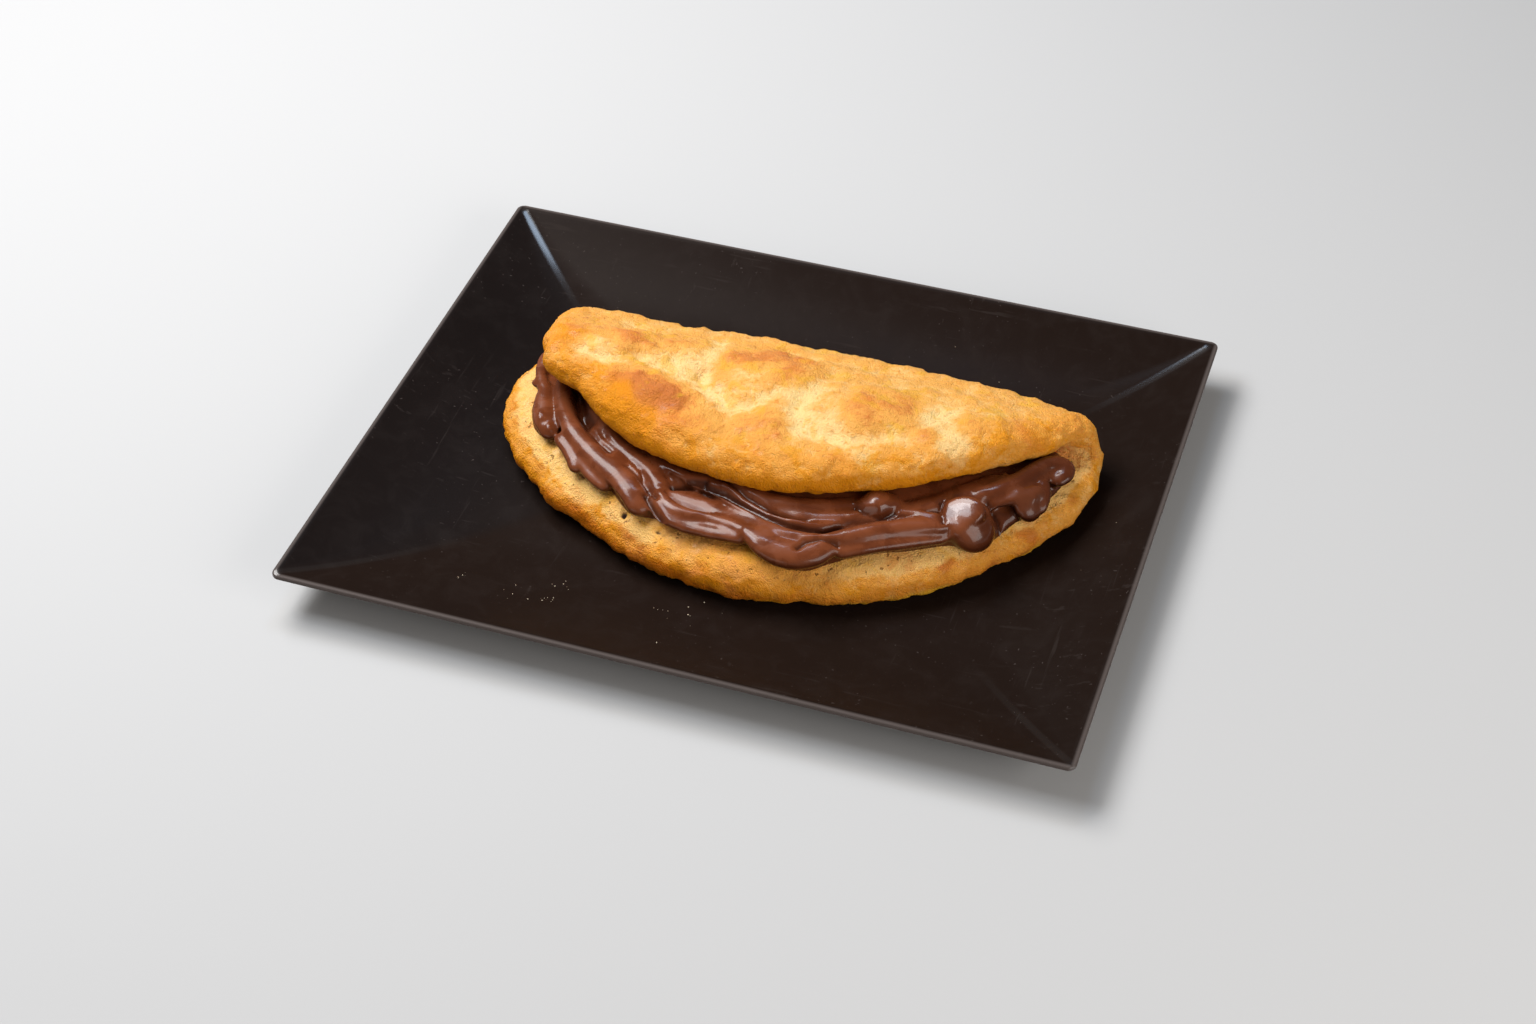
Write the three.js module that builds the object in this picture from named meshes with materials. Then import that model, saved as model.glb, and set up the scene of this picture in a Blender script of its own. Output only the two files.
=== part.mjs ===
// A langos, a round of fried yeast dough, folded over chocolate spread and served on a black plate.
// Millimetres, +Z up. The origin is the middle of the plate's underside, +X runs along the plate's long side
// and to the right of the open mouth, and the mouth faces -Y.
import * as THREE from "three";
import { mergeVertices } from "three/addons/utils/BufferGeometryUtils.js";

const { PI, abs, atan2, cos, exp, floor, hypot, max, min, sin, sqrt } = Math;

// ---- driving dimensions ----
const plate = {
  length: 230,
  width: 180,
  wall: 1.5, // up and down, everywhere
  depth: 11.5, // of the rim above the floor
  slope: 46, // how far in from the edge the sides keep sloping
  lip: 1.4, // the flat strip round the rim
  edgeBevel: 0.4, // of the rim's outer edge
  cornerRadius: 2.2, // of the rim, seen from above
  cornerGrowth: 0.42, // by how much the corners open out for each millimetre inwards
};
const restGap = 0.3; // between pieces that touch
const fillingGap = 0.7; // between the filling and the dough

const dough = {
  centreX: 4,
  halfWidth: 89, // of the flat round, along the fold
  halfLength: 79, // of the flat round, across the fold
  beyondFold: 15, // how far the middle of the flat round lies on the lower flap's side
  thickness: 10.6,
  rimPuff: 2.6, // extra thickness near the edge
  edgeRound: 7, // width of the rounded edge
  foldRadius: 13, // outside of the fold
  foldBack: 41.5, // the fold's rearmost line
  foldBow: 1.5, // how much further forward its ends lie
  leftTurn: 4, // by how much the fold turns forwards at its left end
  rightTurn: 6, // and at its right end
  lift: 7, // how far the filling holds the upper flap up at its middle
  liftLength: 74, // the lift would end this far from the fold
  leftTipLift: 4.5, // further lift of the upper flap's left front
};

// The round isn't a true oval: its radius is multiplied by these, from the right tip (0 degrees)
// by way of the lower flap's front (90), the left (180) and the upper flap's front (270).
const unevenness = [1.025, 0.96, 0.962, 0.97, 0.945, 0.985, 1.02, 0.985, 1.045, 1.045, 1.005, 0.985];
// Stretches of its rim that stand out or are drawn in: degrees, share of the radius, width in degrees.
const rimLobes = [
  [191, -0.14, 15], // the left end of the fold
  [218, 0.08, 8], // the upper flap's left end
  [231, -0.012, 4], // a notch in its lip
];

// Blisters and hollows of the upper flap: x, y, height and radius.
const upperBlisters = [
  [-46, 9, 1.6, 9],
  [-30, -9, 2.2, 12],
  [-19, 5, -2.2, 7],
  [-9, -7, -1.6, 7],
  [3, 11, 1.8, 13],
  [19, -11, -1.4, 8],
  [31, 3, 1.6, 12],
  [44, -9, -1, 8],
  [61, 8, 1.2, 11],
];
// The same for the side of the lower flap that faces up.
const lowerBlisters = [
  [-62, -20, 0.9, 9],
  [-30, -36, 1, 9],
  [6, -42, 1.2, 11],
  [44, -34, 1, 9],
  [76, -6, 0.8, 8],
];

const filling = {
  left: -75.5,
  right: 87,
  endY: 12, // where its two ends lie
  endRound: 9,
  reachLeft: 12.5, // how far it comes out in front of the upper flap's rim
  reachRight: 17,
  fromRim: 4.5, // what it leaves bare of the lower flap's rim, at least
  backGap: 1, // from where the flaps leave the fold
  edgeRound: 5,
  thinnest: 2.5,
  groove: 3.2, // depth between the two ribbons at the mouth
  grooveAt: 0.45, // share of the way from the upper flap's rim to the filling's front
  grooveWidth: 0.15, // likewise
  strand: 0.7, // height of the strands along the ribbons
};
// Lobes along the filling's front, pressed out (or held back): x, how far, and half width.
const fillingLobes = [
  [-70, -3.5, 5],
  [-57, -4, 5],
  [-47, 1.5, 4],
  [-38, -2, 5],
  [-27, 3, 7],
  [8, -4, 7],
  [24, 4.5, 9],
  [70, 5, 6],
  [82, 2, 4],
];

const floorTop = plate.wall;
const doughBase = floorTop + restGap;
const foldCentreZ = doughBase + dough.foldRadius;
const midRadius = dough.foldRadius - dough.thickness / 2;
const halfBend = (PI / 2) * midRadius; // dough used by a quarter of the fold

// ---- helpers ----
const clamp = (v, low, high) => min(max(v, low), high);
const smooth = (t) => {
  const s = clamp(t, 0, 1);
  return s * s * (3 - 2 * s);
};
// 0 at an edge, rising along a quarter circle to 1 at `width` inside it.
const rounded = (inside, width) => sqrt(1 - clamp(1 - inside / width, 0, 1) ** 2);
const bell = (distance, width) => exp(-((distance / width) ** 2));
const blisterAt = (list, x, y) =>
  list.reduce((sum, [bx, by, height, radius]) => sum + height * bell(hypot(x - bx, y - by), radius), 0);

// Reads a closed ring of values at an angle, smoothly.
function ringValue(values, angle) {
  const n = values.length;
  const place = ((angle / (2 * PI)) * n + n) % n;
  const i = floor(place);
  const t = place - i;
  const [a, b, c, d] = [-1, 0, 1, 2].map((k) => values[(i + k + n) % n]);
  return b + 0.5 * t * (c - a + t * (2 * a - 5 * b + 4 * c - d + t * (3 * (b - c) + d - a)));
}

// `count` + 1 places from `from` to `to`, closer together where `weight` is large.
function spacing(count, from, to, weight) {
  const fine = 400;
  const sums = [0];
  for (let k = 0; k < fine; k += 1) sums.push(sums[k] + weight(from + ((k + 0.5) / fine) * (to - from)));
  const places = [];
  for (let i = 0, k = 0; i <= count; i += 1) {
    const wanted = (i / count) * sums[fine];
    while (k < fine - 1 && sums[k + 1] < wanted) k += 1;
    const share = clamp((wanted - sums[k]) / (sums[k + 1] - sums[k]), 0, 1);
    places.push(from + ((k + share) / fine) * (to - from));
  }
  return places;
}

// A closed surface: loops of points one after another, shut by a point at each end. The loops turn
// anticlockwise as seen from the first of these points.
function closedSurface(firstPole, loops, lastPole) {
  const around = loops[0].length;
  const points = [firstPole, ...loops.flat(), lastPole];
  const index = [];
  const at = (loop, j) => 1 + loop * around + (j % around);
  for (let j = 0; j < around; j += 1) {
    index.push(0, at(0, j), at(0, j + 1));
    for (let i = 0; i < loops.length - 1; i += 1) {
      index.push(at(i, j), at(i + 1, j), at(i, j + 1));
      index.push(at(i, j + 1), at(i + 1, j), at(i + 1, j + 1));
    }
    index.push(points.length - 1, at(loops.length - 1, j + 1), at(loops.length - 1, j));
  }
  const geometry = new THREE.BufferGeometry();
  geometry.setAttribute("position", new THREE.Float32BufferAttribute(points.flat(), 3));
  geometry.setIndex(index);
  const merged = mergeVertices(geometry, 1e-3);
  merged.computeVertexNormals();
  return merged;
}

// ---- plate ----
// One contour of the plate: a rectangle with rounded corners, `inset` in from the rim.
function plateContour(inset, height, cornerSteps = 5) {
  const radius = plate.cornerRadius + plate.cornerGrowth * inset;
  const straightX = plate.length / 2 - inset - radius;
  const straightY = plate.width / 2 - inset - radius;
  const corners = [[1, 1], [-1, 1], [-1, -1], [1, -1]];
  return corners.flatMap(([sideX, sideY], corner) =>
    Array.from({ length: cornerSteps + 1 }, (_, k) => {
      const angle = (corner + k / cornerSteps) * (PI / 2);
      return [sideX * straightX + radius * cos(angle), sideY * straightY + radius * sin(angle), height];
    }),
  );
}

// The upper side rises in a parabola from the flat floor to the lip.
function plateHeight(inset) {
  const outward = 1 - clamp((inset - plate.lip) / (plate.slope - plate.lip), 0, 1);
  return floorTop + plate.depth * outward ** 2;
}

// How far the plate's sloping sides lift what lies on them.
const plateRise = (x, y) => plateHeight(min(plate.length / 2 - abs(x), plate.width / 2 - abs(y))) - floorTop;

function plateGeometry(steps = 7) {
  const rimTop = floorTop + plate.depth;
  const bevel = plate.edgeBevel;
  const slopeWidth = plate.slope - plate.lip;
  const insets = Array.from({ length: steps + 1 }, (_, k) => plate.lip + (k / steps) * slopeWidth);
  const under = insets.map((inset) => plateContour(inset, plateHeight(inset) - plate.wall));
  const over = insets.map((inset) => plateContour(inset, plateHeight(inset))).reverse();
  const edge = [
    plateContour(bevel, rimTop),
    plateContour(0, rimTop - bevel),
    plateContour(0, rimTop - plate.wall),
  ];
  return closedSurface([0, 0, floorTop], [...over, ...edge, ...under], [0, 0, 0]);
}

// ---- dough ----
const acrossAt = (x) => (x - dough.centreX) / dough.halfWidth; // -1 at the left tip, 1 at the right one

// Where the flaps leave the fold: the fold bows back a little, and turns forwards at both ends.
function bendAt(x) {
  const across = acrossAt(x);
  const turn = across > 0 ? dough.rightTurn * across ** 8 : dough.leftTurn * across ** 4;
  return dough.foldBack - dough.foldRadius - dough.foldBow * across ** 2 - turn;
}

// The radius of the flat round at an angle, as a share of the even oval's.
function roundAt(angle) {
  const degrees = (angle * 180) / PI;
  const away = (from) => ((degrees - from + 540) % 360) - 180;
  const lobes = rimLobes.reduce((sum, [at, share, width]) => sum + share * bell(away(at), width), 0);
  return ringValue(unevenness, angle) + lobes;
}

// How far out a point of the flat round lies: 0 in its middle, 1 at its rim.
function rimShare(x, s) {
  const u = acrossAt(x);
  const v = (s - dough.beyondFold) / dough.halfLength;
  return hypot(u, v) / roundAt(atan2(v, u));
}

function doughThickness(x, s) {
  return dough.thickness + dough.rimPuff * bell(rimShare(x, s) - 0.86, 0.1) * smooth(abs(s) / 30);
}

// 1 over most of the round, and 0 at its rim.
function edgeFullness(x, s) {
  return rounded((1 - rimShare(x, s)) * dough.halfLength, dough.edgeRound);
}

// How far the filling holds the upper flap up, and how far its left front gapes above the filling.
function upperLift(x, ahead) {
  const along = clamp(ahead / dough.liftLength, 0, 1) ** 0.8;
  return dough.lift * (1 - acrossAt(x) ** 4) * sin(PI * along) ** 0.9;
}
const leftGape = (x, ahead) => dough.leftTipLift * smooth((-30 - x) / 40) * smooth(ahead / 20);

// The top of the lower flap and the underside of the upper one, as if they ran on past their rims.
function lowerTop(x, y) {
  const ahead = bendAt(x) - y;
  const s = ahead + halfBend;
  const fullness = edgeFullness(x, s);
  const swell = blisterAt(lowerBlisters, x, y) * smooth(ahead / 12) * fullness;
  return doughBase + (doughThickness(x, s) * (1 + fullness)) / 2 + swell + plateRise(x, y);
}
function upperUnderside(x, y) {
  const ahead = bendAt(x) - y;
  const top = foldCentreZ + dough.foldRadius + upperLift(x, ahead);
  return top - doughThickness(x, -ahead - halfBend) + plateRise(x, y);
}

// A point of the folded dough. x and s are its place in the flat round, s counted from the fold and
// positive on the lower flap; through is -1 on the outer crust and 1 on the inner one.
function doughPoint(x, s, through) {
  const thickness = doughThickness(x, s);
  const fullness = edgeFullness(x, s);
  const offset = (through * thickness * fullness) / 2;
  const ahead = abs(s) - halfBend;
  if (ahead <= 0) {
    const angle = s / midRadius;
    const radius = dough.foldRadius - thickness / 2 - offset;
    const y = bendAt(x) + radius * cos(angle);
    return [x, y, foldCentreZ - radius * sin(angle) + plateRise(x, y)];
  }
  const y = bendAt(x) - ahead;
  if (s > 0 && through > 0) return [x, y, lowerTop(x, y)];
  if (s > 0) return [x, y, doughBase + thickness / 2 + offset + plateRise(x, y)];
  const swell = through < 0 ? blisterAt(upperBlisters, x, y) * smooth(ahead / 12) * fullness : 0;
  return [x, y, upperUnderside(x, y) + thickness / 2 - offset + leftGape(x, ahead) + swell];
}

// Columns of points run across the fold: each loop goes over the outer crust and back along the inner one.
function doughGeometry(columns = 44, rows = 38) {
  const placesX = spacing(columns, -1, 1, (t) => 1 + 2.2 * exp(-(1 - abs(t)) / 0.05)).slice(1, -1);
  const flat = (a, b) => {
    const out = roundAt(atan2(b, a));
    return [dough.centreX + dough.halfWidth * a * out, dough.beyondFold + dough.halfLength * b * out];
  };
  const foldAt = -dough.beyondFold / dough.halfLength;
  const loops = placesX.map((a) => {
    const reach = sqrt(1 - a * a);
    const weight = (b) => 1 + 1.4 * bell(b - foldAt, 0.16) + 2.6 * exp(-(reach - abs(b)) / 0.045);
    const places = spacing(rows, -reach, reach, weight);
    const outer = places.map((b) => doughPoint(...flat(a, b), -1));
    const inner = places.slice(1, -1).reverse().map((b) => doughPoint(...flat(a, b), 1));
    return [...outer, ...inner];
  });
  return closedSurface(doughPoint(...flat(-1, 0), 0), loops, doughPoint(...flat(1, 0), 0));
}

// ---- filling ----
// Where a flap's front rim lies: side is 1 for the lower flap and -1 for the upper one.
function flapFront(x, side) {
  let [inside, outside] = [0, side * 2 * dough.halfLength];
  for (let k = 0; k < 24; k += 1) {
    const middle = (inside + outside) / 2;
    if (rimShare(x, middle) < 1) inside = middle;
    else outside = middle;
  }
  return bendAt(x) - max(abs(inside) - halfBend, 0);
}

function fillingFront(x) {
  const lobes = fillingLobes.reduce((sum, [at, out, width]) => sum + out * bell(x - at, width), 0);
  const reach = filling.reachLeft + (filling.reachRight - filling.reachLeft) * smooth((x + 10) / 40);
  return max(flapFront(x, -1) - reach - lobes, flapFront(x, 1) + filling.fromRim);
}

// The filling's upper side: against the upper flap, and in front of it two ribbons with a groove between.
function fillingTop(x, y) {
  const rim = flapFront(x, -1);
  if (y >= rim) return upperUnderside(x, y) - fillingGap;
  const out = (rim - y) / (rim - fillingFront(x));
  const full = upperUnderside(x, rim) - fillingGap - lowerTop(x, rim);
  const slope = 1 - 0.35 * out ** 1.5;
  const wander = 0.06 * sin(x / 9);
  const groove = filling.groove * bell(out - filling.grooveAt - wander, filling.grooveWidth);
  const strands = filling.strand * sin(x / 4.5 + 5 * out) * smooth(out / 0.2);
  return lowerTop(x, y) + max(full * slope - groove + strands, filling.thinnest);
}

// Columns across the filling: each loop goes back over its upper side and forwards under it.
function fillingGeometry(columns = 58, rows = 22) {
  const fromEnd = (x) => min(x - filling.left, filling.right - x);
  const towardsEnds = (x) => 1 + 3 * exp(-fromEnd(x) / 5);
  const forward = (q) => 0.5 + 2 * smooth((q - 0.3) / 0.3) + 2 * exp((abs(q) - 1) / 0.06);
  const loops = spacing(columns, filling.left, filling.right, towardsEnds).slice(1, -1).map((x) => {
    const bulk = rounded(fromEnd(x), filling.endRound);
    const [front, back] = [fillingFront(x), bendAt(x) - filling.backGap];
    const middle = filling.endY * (1 - bulk) + ((front + back) / 2) * bulk;
    const half = ((back - front) / 2) * bulk;
    const point = (q, over) => {
      const y = middle - half * q;
      const [low, high] = [lowerTop(x, y) + fillingGap, fillingTop(x, y)];
      const level = low + 0.4 * (high - low); // of the filling's widest outline
      const fullness = bulk * rounded(half * (1 - abs(q)), filling.edgeRound);
      return [x, y, level + ((over ? high : low) - level) * fullness];
    };
    const across = spacing(rows, -1, 1, forward);
    const above = across.map((q) => point(q, true)).reverse();
    const below = across.slice(1, -1).map((q) => point(q, false));
    return [...above, ...below];
  });
  const pole = (x) => [x, filling.endY, lowerTop(x, filling.endY) + filling.thinnest];
  return closedSurface(pole(filling.left), loops, pole(filling.right));
}

function namedMesh(name, geometry, color, roughness) {
  const mesh = new THREE.Mesh(geometry, new THREE.MeshStandardMaterial({ color, roughness, metalness: 0 }));
  mesh.name = name;
  return mesh;
}

const langos = new THREE.Group();
langos.add(namedMesh("plate", plateGeometry(), 0x17161a, 0.3));
langos.add(namedMesh("dough", doughGeometry(), 0xd99a3c, 0.7));
langos.add(namedMesh("filling", fillingGeometry(), 0x3f2018, 0.15));

export default langos;
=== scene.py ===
# A langos folded over chocolate spread, on a black plate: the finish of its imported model.
# Sizes in the dictionaries are millimetres in the model's own frame, and meshes are made in metres.
import math
import bpy
import numpy as np
from mathutils import Matrix, Vector, noise


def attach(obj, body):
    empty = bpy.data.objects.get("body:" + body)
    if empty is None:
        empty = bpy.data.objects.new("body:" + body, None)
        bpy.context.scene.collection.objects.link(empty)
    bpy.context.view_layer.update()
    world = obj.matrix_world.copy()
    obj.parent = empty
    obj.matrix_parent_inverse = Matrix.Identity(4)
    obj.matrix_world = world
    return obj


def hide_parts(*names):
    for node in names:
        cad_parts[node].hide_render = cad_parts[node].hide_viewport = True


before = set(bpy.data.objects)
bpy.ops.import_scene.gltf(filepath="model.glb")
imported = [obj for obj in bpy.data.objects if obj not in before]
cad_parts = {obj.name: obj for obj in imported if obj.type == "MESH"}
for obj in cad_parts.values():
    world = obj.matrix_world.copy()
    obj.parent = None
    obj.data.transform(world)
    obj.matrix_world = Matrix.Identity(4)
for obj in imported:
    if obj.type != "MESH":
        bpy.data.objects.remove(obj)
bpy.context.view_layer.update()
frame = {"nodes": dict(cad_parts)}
mm = 0.001
scene = bpy.context.scene
print("frame loaded:", ", ".join(frame["nodes"]))


# shader and geometry trees are written as sums of these
class Signal:
    def __init__(self, graph, socket):
        self.graph = graph
        self.socket = socket

    def __add__(self, other):
        return self.graph.math("ADD", self, other)

    def __radd__(self, other):
        return self.graph.math("ADD", other, self)

    def __sub__(self, other):
        return self.graph.math("SUBTRACT", self, other)

    def __rsub__(self, other):
        return self.graph.math("SUBTRACT", other, self)

    def __mul__(self, other):
        return self.graph.math("MULTIPLY", self, other)

    def __rmul__(self, other):
        return self.graph.math("MULTIPLY", other, self)


class Graph:
    def __init__(self, tree):
        self.tree = tree

    # adds a node: its settings first, then a value or a Signal for each socket, and gives one output
    def add(self, kind, settings=None, inputs=None, output=0):
        node = self.tree.nodes.new(kind)
        for name, value in (settings or {}).items():
            setattr(node, name, value)
        self.feed(node, inputs or {})
        return Signal(self, node.outputs[output])

    def feed(self, node, inputs):
        for name, value in inputs.items():
            if isinstance(value, Signal):
                self.tree.links.new(value.socket, node.inputs[name])
            else:
                node.inputs[name].default_value = value

    def math(self, operation, first, second=0.0):
        return self.add("ShaderNodeMath", {"operation": operation}, {0: first, 1: second})

    def noise(self, place, size, detail=2.0, roughness=0.5, distortion=0.0):
        inputs = {"Vector": place, "Scale": 1 / (size * mm), "Detail": detail, "Roughness": roughness,
                  "Distortion": distortion}
        return self.add("ShaderNodeTexNoise", {}, inputs)

    # 0 up to `low` and 1 from `high` on, with a smooth step between them, and falling where high is less
    def step(self, value, low, high):
        inputs = {"Value": value, "From Min": low, "From Max": high}
        return self.add("ShaderNodeMapRange", {"interpolation_type": "SMOOTHSTEP"}, inputs)

    # coats of colour over a first one: how much of each, and its colour
    def coats(self, colour, layers):
        for share, tone in layers:
            colour = self.add("ShaderNodeMix", {"data_type": "RGBA"}, {0: share, 6: colour, 7: tone}, 2)
        return colour

    def bump(self, height, distance, strength):
        inputs = {"Height": height, "Distance": distance * mm, "Strength": strength}
        return self.add("ShaderNodeBump", {}, inputs)

    def attribute(self, name):
        return self.add("ShaderNodeAttribute", {"attribute_name": name}, {}, "Fac")

    def part(self, vector, axis):
        return self.add("ShaderNodeSeparateXYZ", {}, {0: vector}, axis)

    # 1 on a level surface, 0 on an upright one
    def upward(self):
        return self.part(self.add("ShaderNodeNewGeometry", {}, {}, "Normal"), "Z")


def rgb(red, green, blue):
    # 0 to 255 as seen on a screen, turned into a linear colour
    def linear(value):
        value /= 255
        return value / 12.92 if value <= 0.04045 else ((value + 0.055) / 1.055) ** 2.4
    return (linear(red), linear(green), linear(blue), 1.0)


def newMaterial(name):
    material = bpy.data.materials.new(name)
    material.use_nodes = True
    graph = Graph(material.node_tree)
    shader = material.node_tree.nodes["Principled BSDF"]
    place = graph.add("ShaderNodeTexCoord", {}, {}, "Object")
    return material, graph, shader, place


# number helpers, for single values and for arrays
def smooth(share):
    share = np.clip(share, 0, 1)
    return share * share * (3 - 2 * share)


def rounded(inside, width):
    return np.sqrt(1 - np.clip(1 - inside / width, 0, 1) ** 2)


def bell(distance, width):
    return np.exp(-((distance / width) ** 2))


# soft bells summed up, each with its place, height and radius
def bellsAt(places, x, y):
    total = np.zeros_like(x)
    for placeX, placeY, height, radius in places:
        total += height * bell(np.hypot(x - placeX, y - placeY), radius)
    return total


# how far points are from a line of straight stretches
def fromLine(x, y, line):
    nearest = np.full_like(x, np.inf)
    for (startX, startY), (endX, endY) in zip(line, line[1:]):
        runX, runY = endX - startX, endY - startY
        share = np.clip(((x - startX) * runX + (y - startY) * runY) / (runX ** 2 + runY ** 2), 0, 1)
        nearest = np.minimum(nearest, np.hypot(x - startX - share * runX, y - startY - share * runY))
    return nearest


# how deep the creases are at points, each crease being its depth, half width and line
def creasesAt(lines, x, y, widen=1):
    return sum(depth * bell(fromLine(x, y, line), widen * width) for depth, width, line in lines)


def catmullRom(before, start, end, after, t):
    pull = t * (2 * before - 5 * start + 4 * end - after + t * (3 * (start - end) + after - before))
    return start + 0.5 * t * (end - before + pull)


# count + 1 places from low to high, closer together where weight is large
def spacing(count, low, high, weight):
    fine = np.linspace(low, high, 2001)
    sums = np.concatenate([[0], np.cumsum(weight((fine[1:] + fine[:-1]) / 2))])
    return np.interp(np.linspace(0, sums[-1], count + 1), sums, fine)


# camera: as the photograph looks at the plate, 3:2, focal length and place solved from the plate's corners
camera = {"at": (191.8, -536.3, 527.7), "imageWidth": 1536, "focalPixels": 2638, "sensor": 36.0,
          "nearest": 50, "right": (0.94628, 0.32303, -0.01432),
          "down": (0.21202, -0.6533, -0.7268), "ahead": (-0.24413, 0.68472, -0.6867)}


def makeCamera():
    data = bpy.data.cameras.new("camera")
    data.sensor_width = camera["sensor"]
    data.lens = camera["sensor"] * camera["focalPixels"] / camera["imageWidth"]
    data.clip_start = camera["nearest"] * mm
    piece = bpy.data.objects.new("camera", data)
    scene.collection.objects.link(piece)
    axes = [Vector(camera["right"]), -Vector(camera["down"]), -Vector(camera["ahead"])]
    turn = Matrix(axes).transposed().to_quaternion()
    piece.rotation_mode = "QUATERNION"
    piece.rotation_quaternion = turn
    piece.location = Vector(camera["at"]) * mm
    scene.camera = piece


makeCamera()
print("camera set")


# meshes from loops of points: a closed skin with a point at each end
def closedFaces(loopCount, around):
    j = np.arange(around)
    following = (j + 1) % around
    first = [(0, 1 + a, 1 + b) for a, b in zip(j, following)]
    body = []
    for i in range(loopCount - 1):
        here = 1 + i * around
        there = here + around
        body += list(zip(here + j, there + j, there + following, here + following))
    end = 1 + loopCount * around
    last = [(end, end - around + b, end - around + a) for a, b in zip(j, following)]
    return first + body + last


def closedMesh(name, firstPole, loops, lastPole):
    loops = np.asarray(loops, float)
    points = np.concatenate([[firstPole], loops.reshape(-1, 3), [lastPole]]) * mm
    faces = [tuple(int(k) for k in face) for face in closedFaces(loops.shape[0], loops.shape[1])]
    mesh = bpy.data.meshes.new(name)
    mesh.from_pydata(points.tolist(), [], faces)
    mesh.shade_smooth()
    return mesh


def newPiece(name, mesh):
    piece = bpy.data.objects.new(name, mesh)
    scene.collection.objects.link(piece)
    return piece


def setValues(mesh, name, values):
    attribute = mesh.attributes.new(name, "FLOAT", "POINT")
    attribute.data.foreach_set("value", np.asarray(values, np.float32).ravel())


# turns what the modifiers make into the piece's own plain mesh
def applyModifiers(piece):
    evaluated = piece.evaluated_get(bpy.context.evaluated_depsgraph_get())
    mesh = bpy.data.meshes.new_from_object(evaluated)
    piece.modifiers.clear()
    piece.data = mesh
    mesh.name = piece.name


def addTree(piece, tree, values, material):
    modifier = piece.modifiers.new(tree.name, "NODES")
    modifier.node_group = tree
    sockets = {item.name: item.identifier for item in tree.interface.items_tree if item.in_out == "INPUT"}
    for name, value in {**values, "Material": material}.items():
        modifier[sockets[name]] = value


# an empty tree whose modifier shows these inputs, each with its kind of socket, and the material
def newTree(name, inputs):
    tree = bpy.data.node_groups.new(name, "GeometryNodeTree")
    tree.interface.new_socket("Geometry", in_out="INPUT", socket_type="NodeSocketGeometry")
    for label, kind in {**inputs, "Material": "NodeSocketMaterial"}.items():
        tree.interface.new_socket(label, in_out="INPUT", socket_type=kind)
    tree.interface.new_socket("Geometry", in_out="OUTPUT", socket_type="NodeSocketGeometry")
    graph = Graph(tree)
    source = tree.nodes.new("NodeGroupInput")
    return tree, graph, {socket.name: Signal(graph, socket) for socket in source.outputs if socket.name}


# ends a tree: instances made real, the material set, and the result handed out
def finishTree(graph, geometry, material):
    real = graph.add("GeometryNodeRealizeInstances", {}, {"Geometry": geometry})
    dressed = graph.add("GeometryNodeSetMaterial", {}, {"Geometry": real, "Material": material})
    target = graph.tree.nodes.new("NodeGroupOutput")
    graph.tree.links.new(dressed.socket, target.inputs[0])


# moves a skin in and out along its normal by some sizes of noise, weaker where its attribute `relief` says,
# and keeps the height for the colours; each pattern is its name, its detail and how it is drawn out
def reliefTree(name, settings, patterns):
    tree, graph, given = newTree(name, {label: "NodeSocketFloat" for label in settings})
    place = graph.add("GeometryNodeInputPosition")
    outward = graph.add("GeometryNodeInputNormal")
    weight = graph.add("GeometryNodeInputNamedAttribute", {"data_type": "FLOAT"}, {"Name": "relief"})
    height = 0
    for label, detail, stretch in patterns:
        drawn = graph.add("ShaderNodeVectorMath", {"operation": "MULTIPLY"}, {0: place, 1: stretch})
        scale = graph.math("DIVIDE", 1.0, given[f"{label} Size"] * mm)
        wave = graph.add("ShaderNodeTexNoise", {"noise_dimensions": "4D"},
                         {"Vector": drawn, "W": given["Seed"], "Scale": scale, "Detail": detail})
        height = height + (wave - 0.5) * given[f"{label} Height"] * (2 * mm)
    height = height * weight
    noted = graph.add("GeometryNodeStoreNamedAttribute", {"data_type": "FLOAT", "domain": "POINT"},
                      {"Geometry": given["Geometry"], "Name": "swelling", "Value": height * (1 / mm)})
    offset = graph.add("ShaderNodeVectorMath", {"operation": "SCALE"}, {0: outward, "Scale": height})
    moved = graph.add("GeometryNodeSetPosition", {}, {"Geometry": noted, "Offset": offset})
    even = graph.add("GeometryNodeSetShadeSmooth", {}, {"Geometry": moved})
    finishTree(graph, even, given["Material"])
    return tree


# plate
plate = {"length": 230, "width": 180, "wall": 1.5, "depth": 11.5, "slope": 46, "lip": 1.4, "edgeRound": 0.45,
         "cornerRadius": 2.2, "cornerGrowth": 0.42, "slopeSteps": 44, "cornerSteps": 22, "roundSteps": 5}
floorTop = plate["wall"]


def plateHeight(inset):
    outward = 1 - np.clip((inset - plate["lip"]) / (plate["slope"] - plate["lip"]), 0, 1)
    return floorTop + plate["depth"] * outward ** 2


def plateRise(x, y):
    inset = np.minimum(plate["length"] / 2 - np.abs(x), plate["width"] / 2 - np.abs(y))
    return plateHeight(inset) - floorTop


# a rectangle with rounded corners, inset from the rim, its straight sides split too
def plateContour(inset, height):
    radius = plate["cornerRadius"] + plate["cornerGrowth"] * inset
    straightX = plate["length"] / 2 - inset - radius
    straightY = plate["width"] / 2 - inset - radius
    points = []
    for corner, (sideX, sideY) in enumerate([(1, 1), (-1, 1), (-1, -1), (1, -1)]):
        angle = (corner + np.linspace(0, 1, plate["cornerSteps"] + 1)) * math.pi / 2
        x = sideX * straightX + radius * np.cos(angle)
        y = sideY * straightY + radius * np.sin(angle)
        points.append(np.stack([x, y, np.full_like(x, height)], axis=1))
    return np.concatenate(points)


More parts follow.
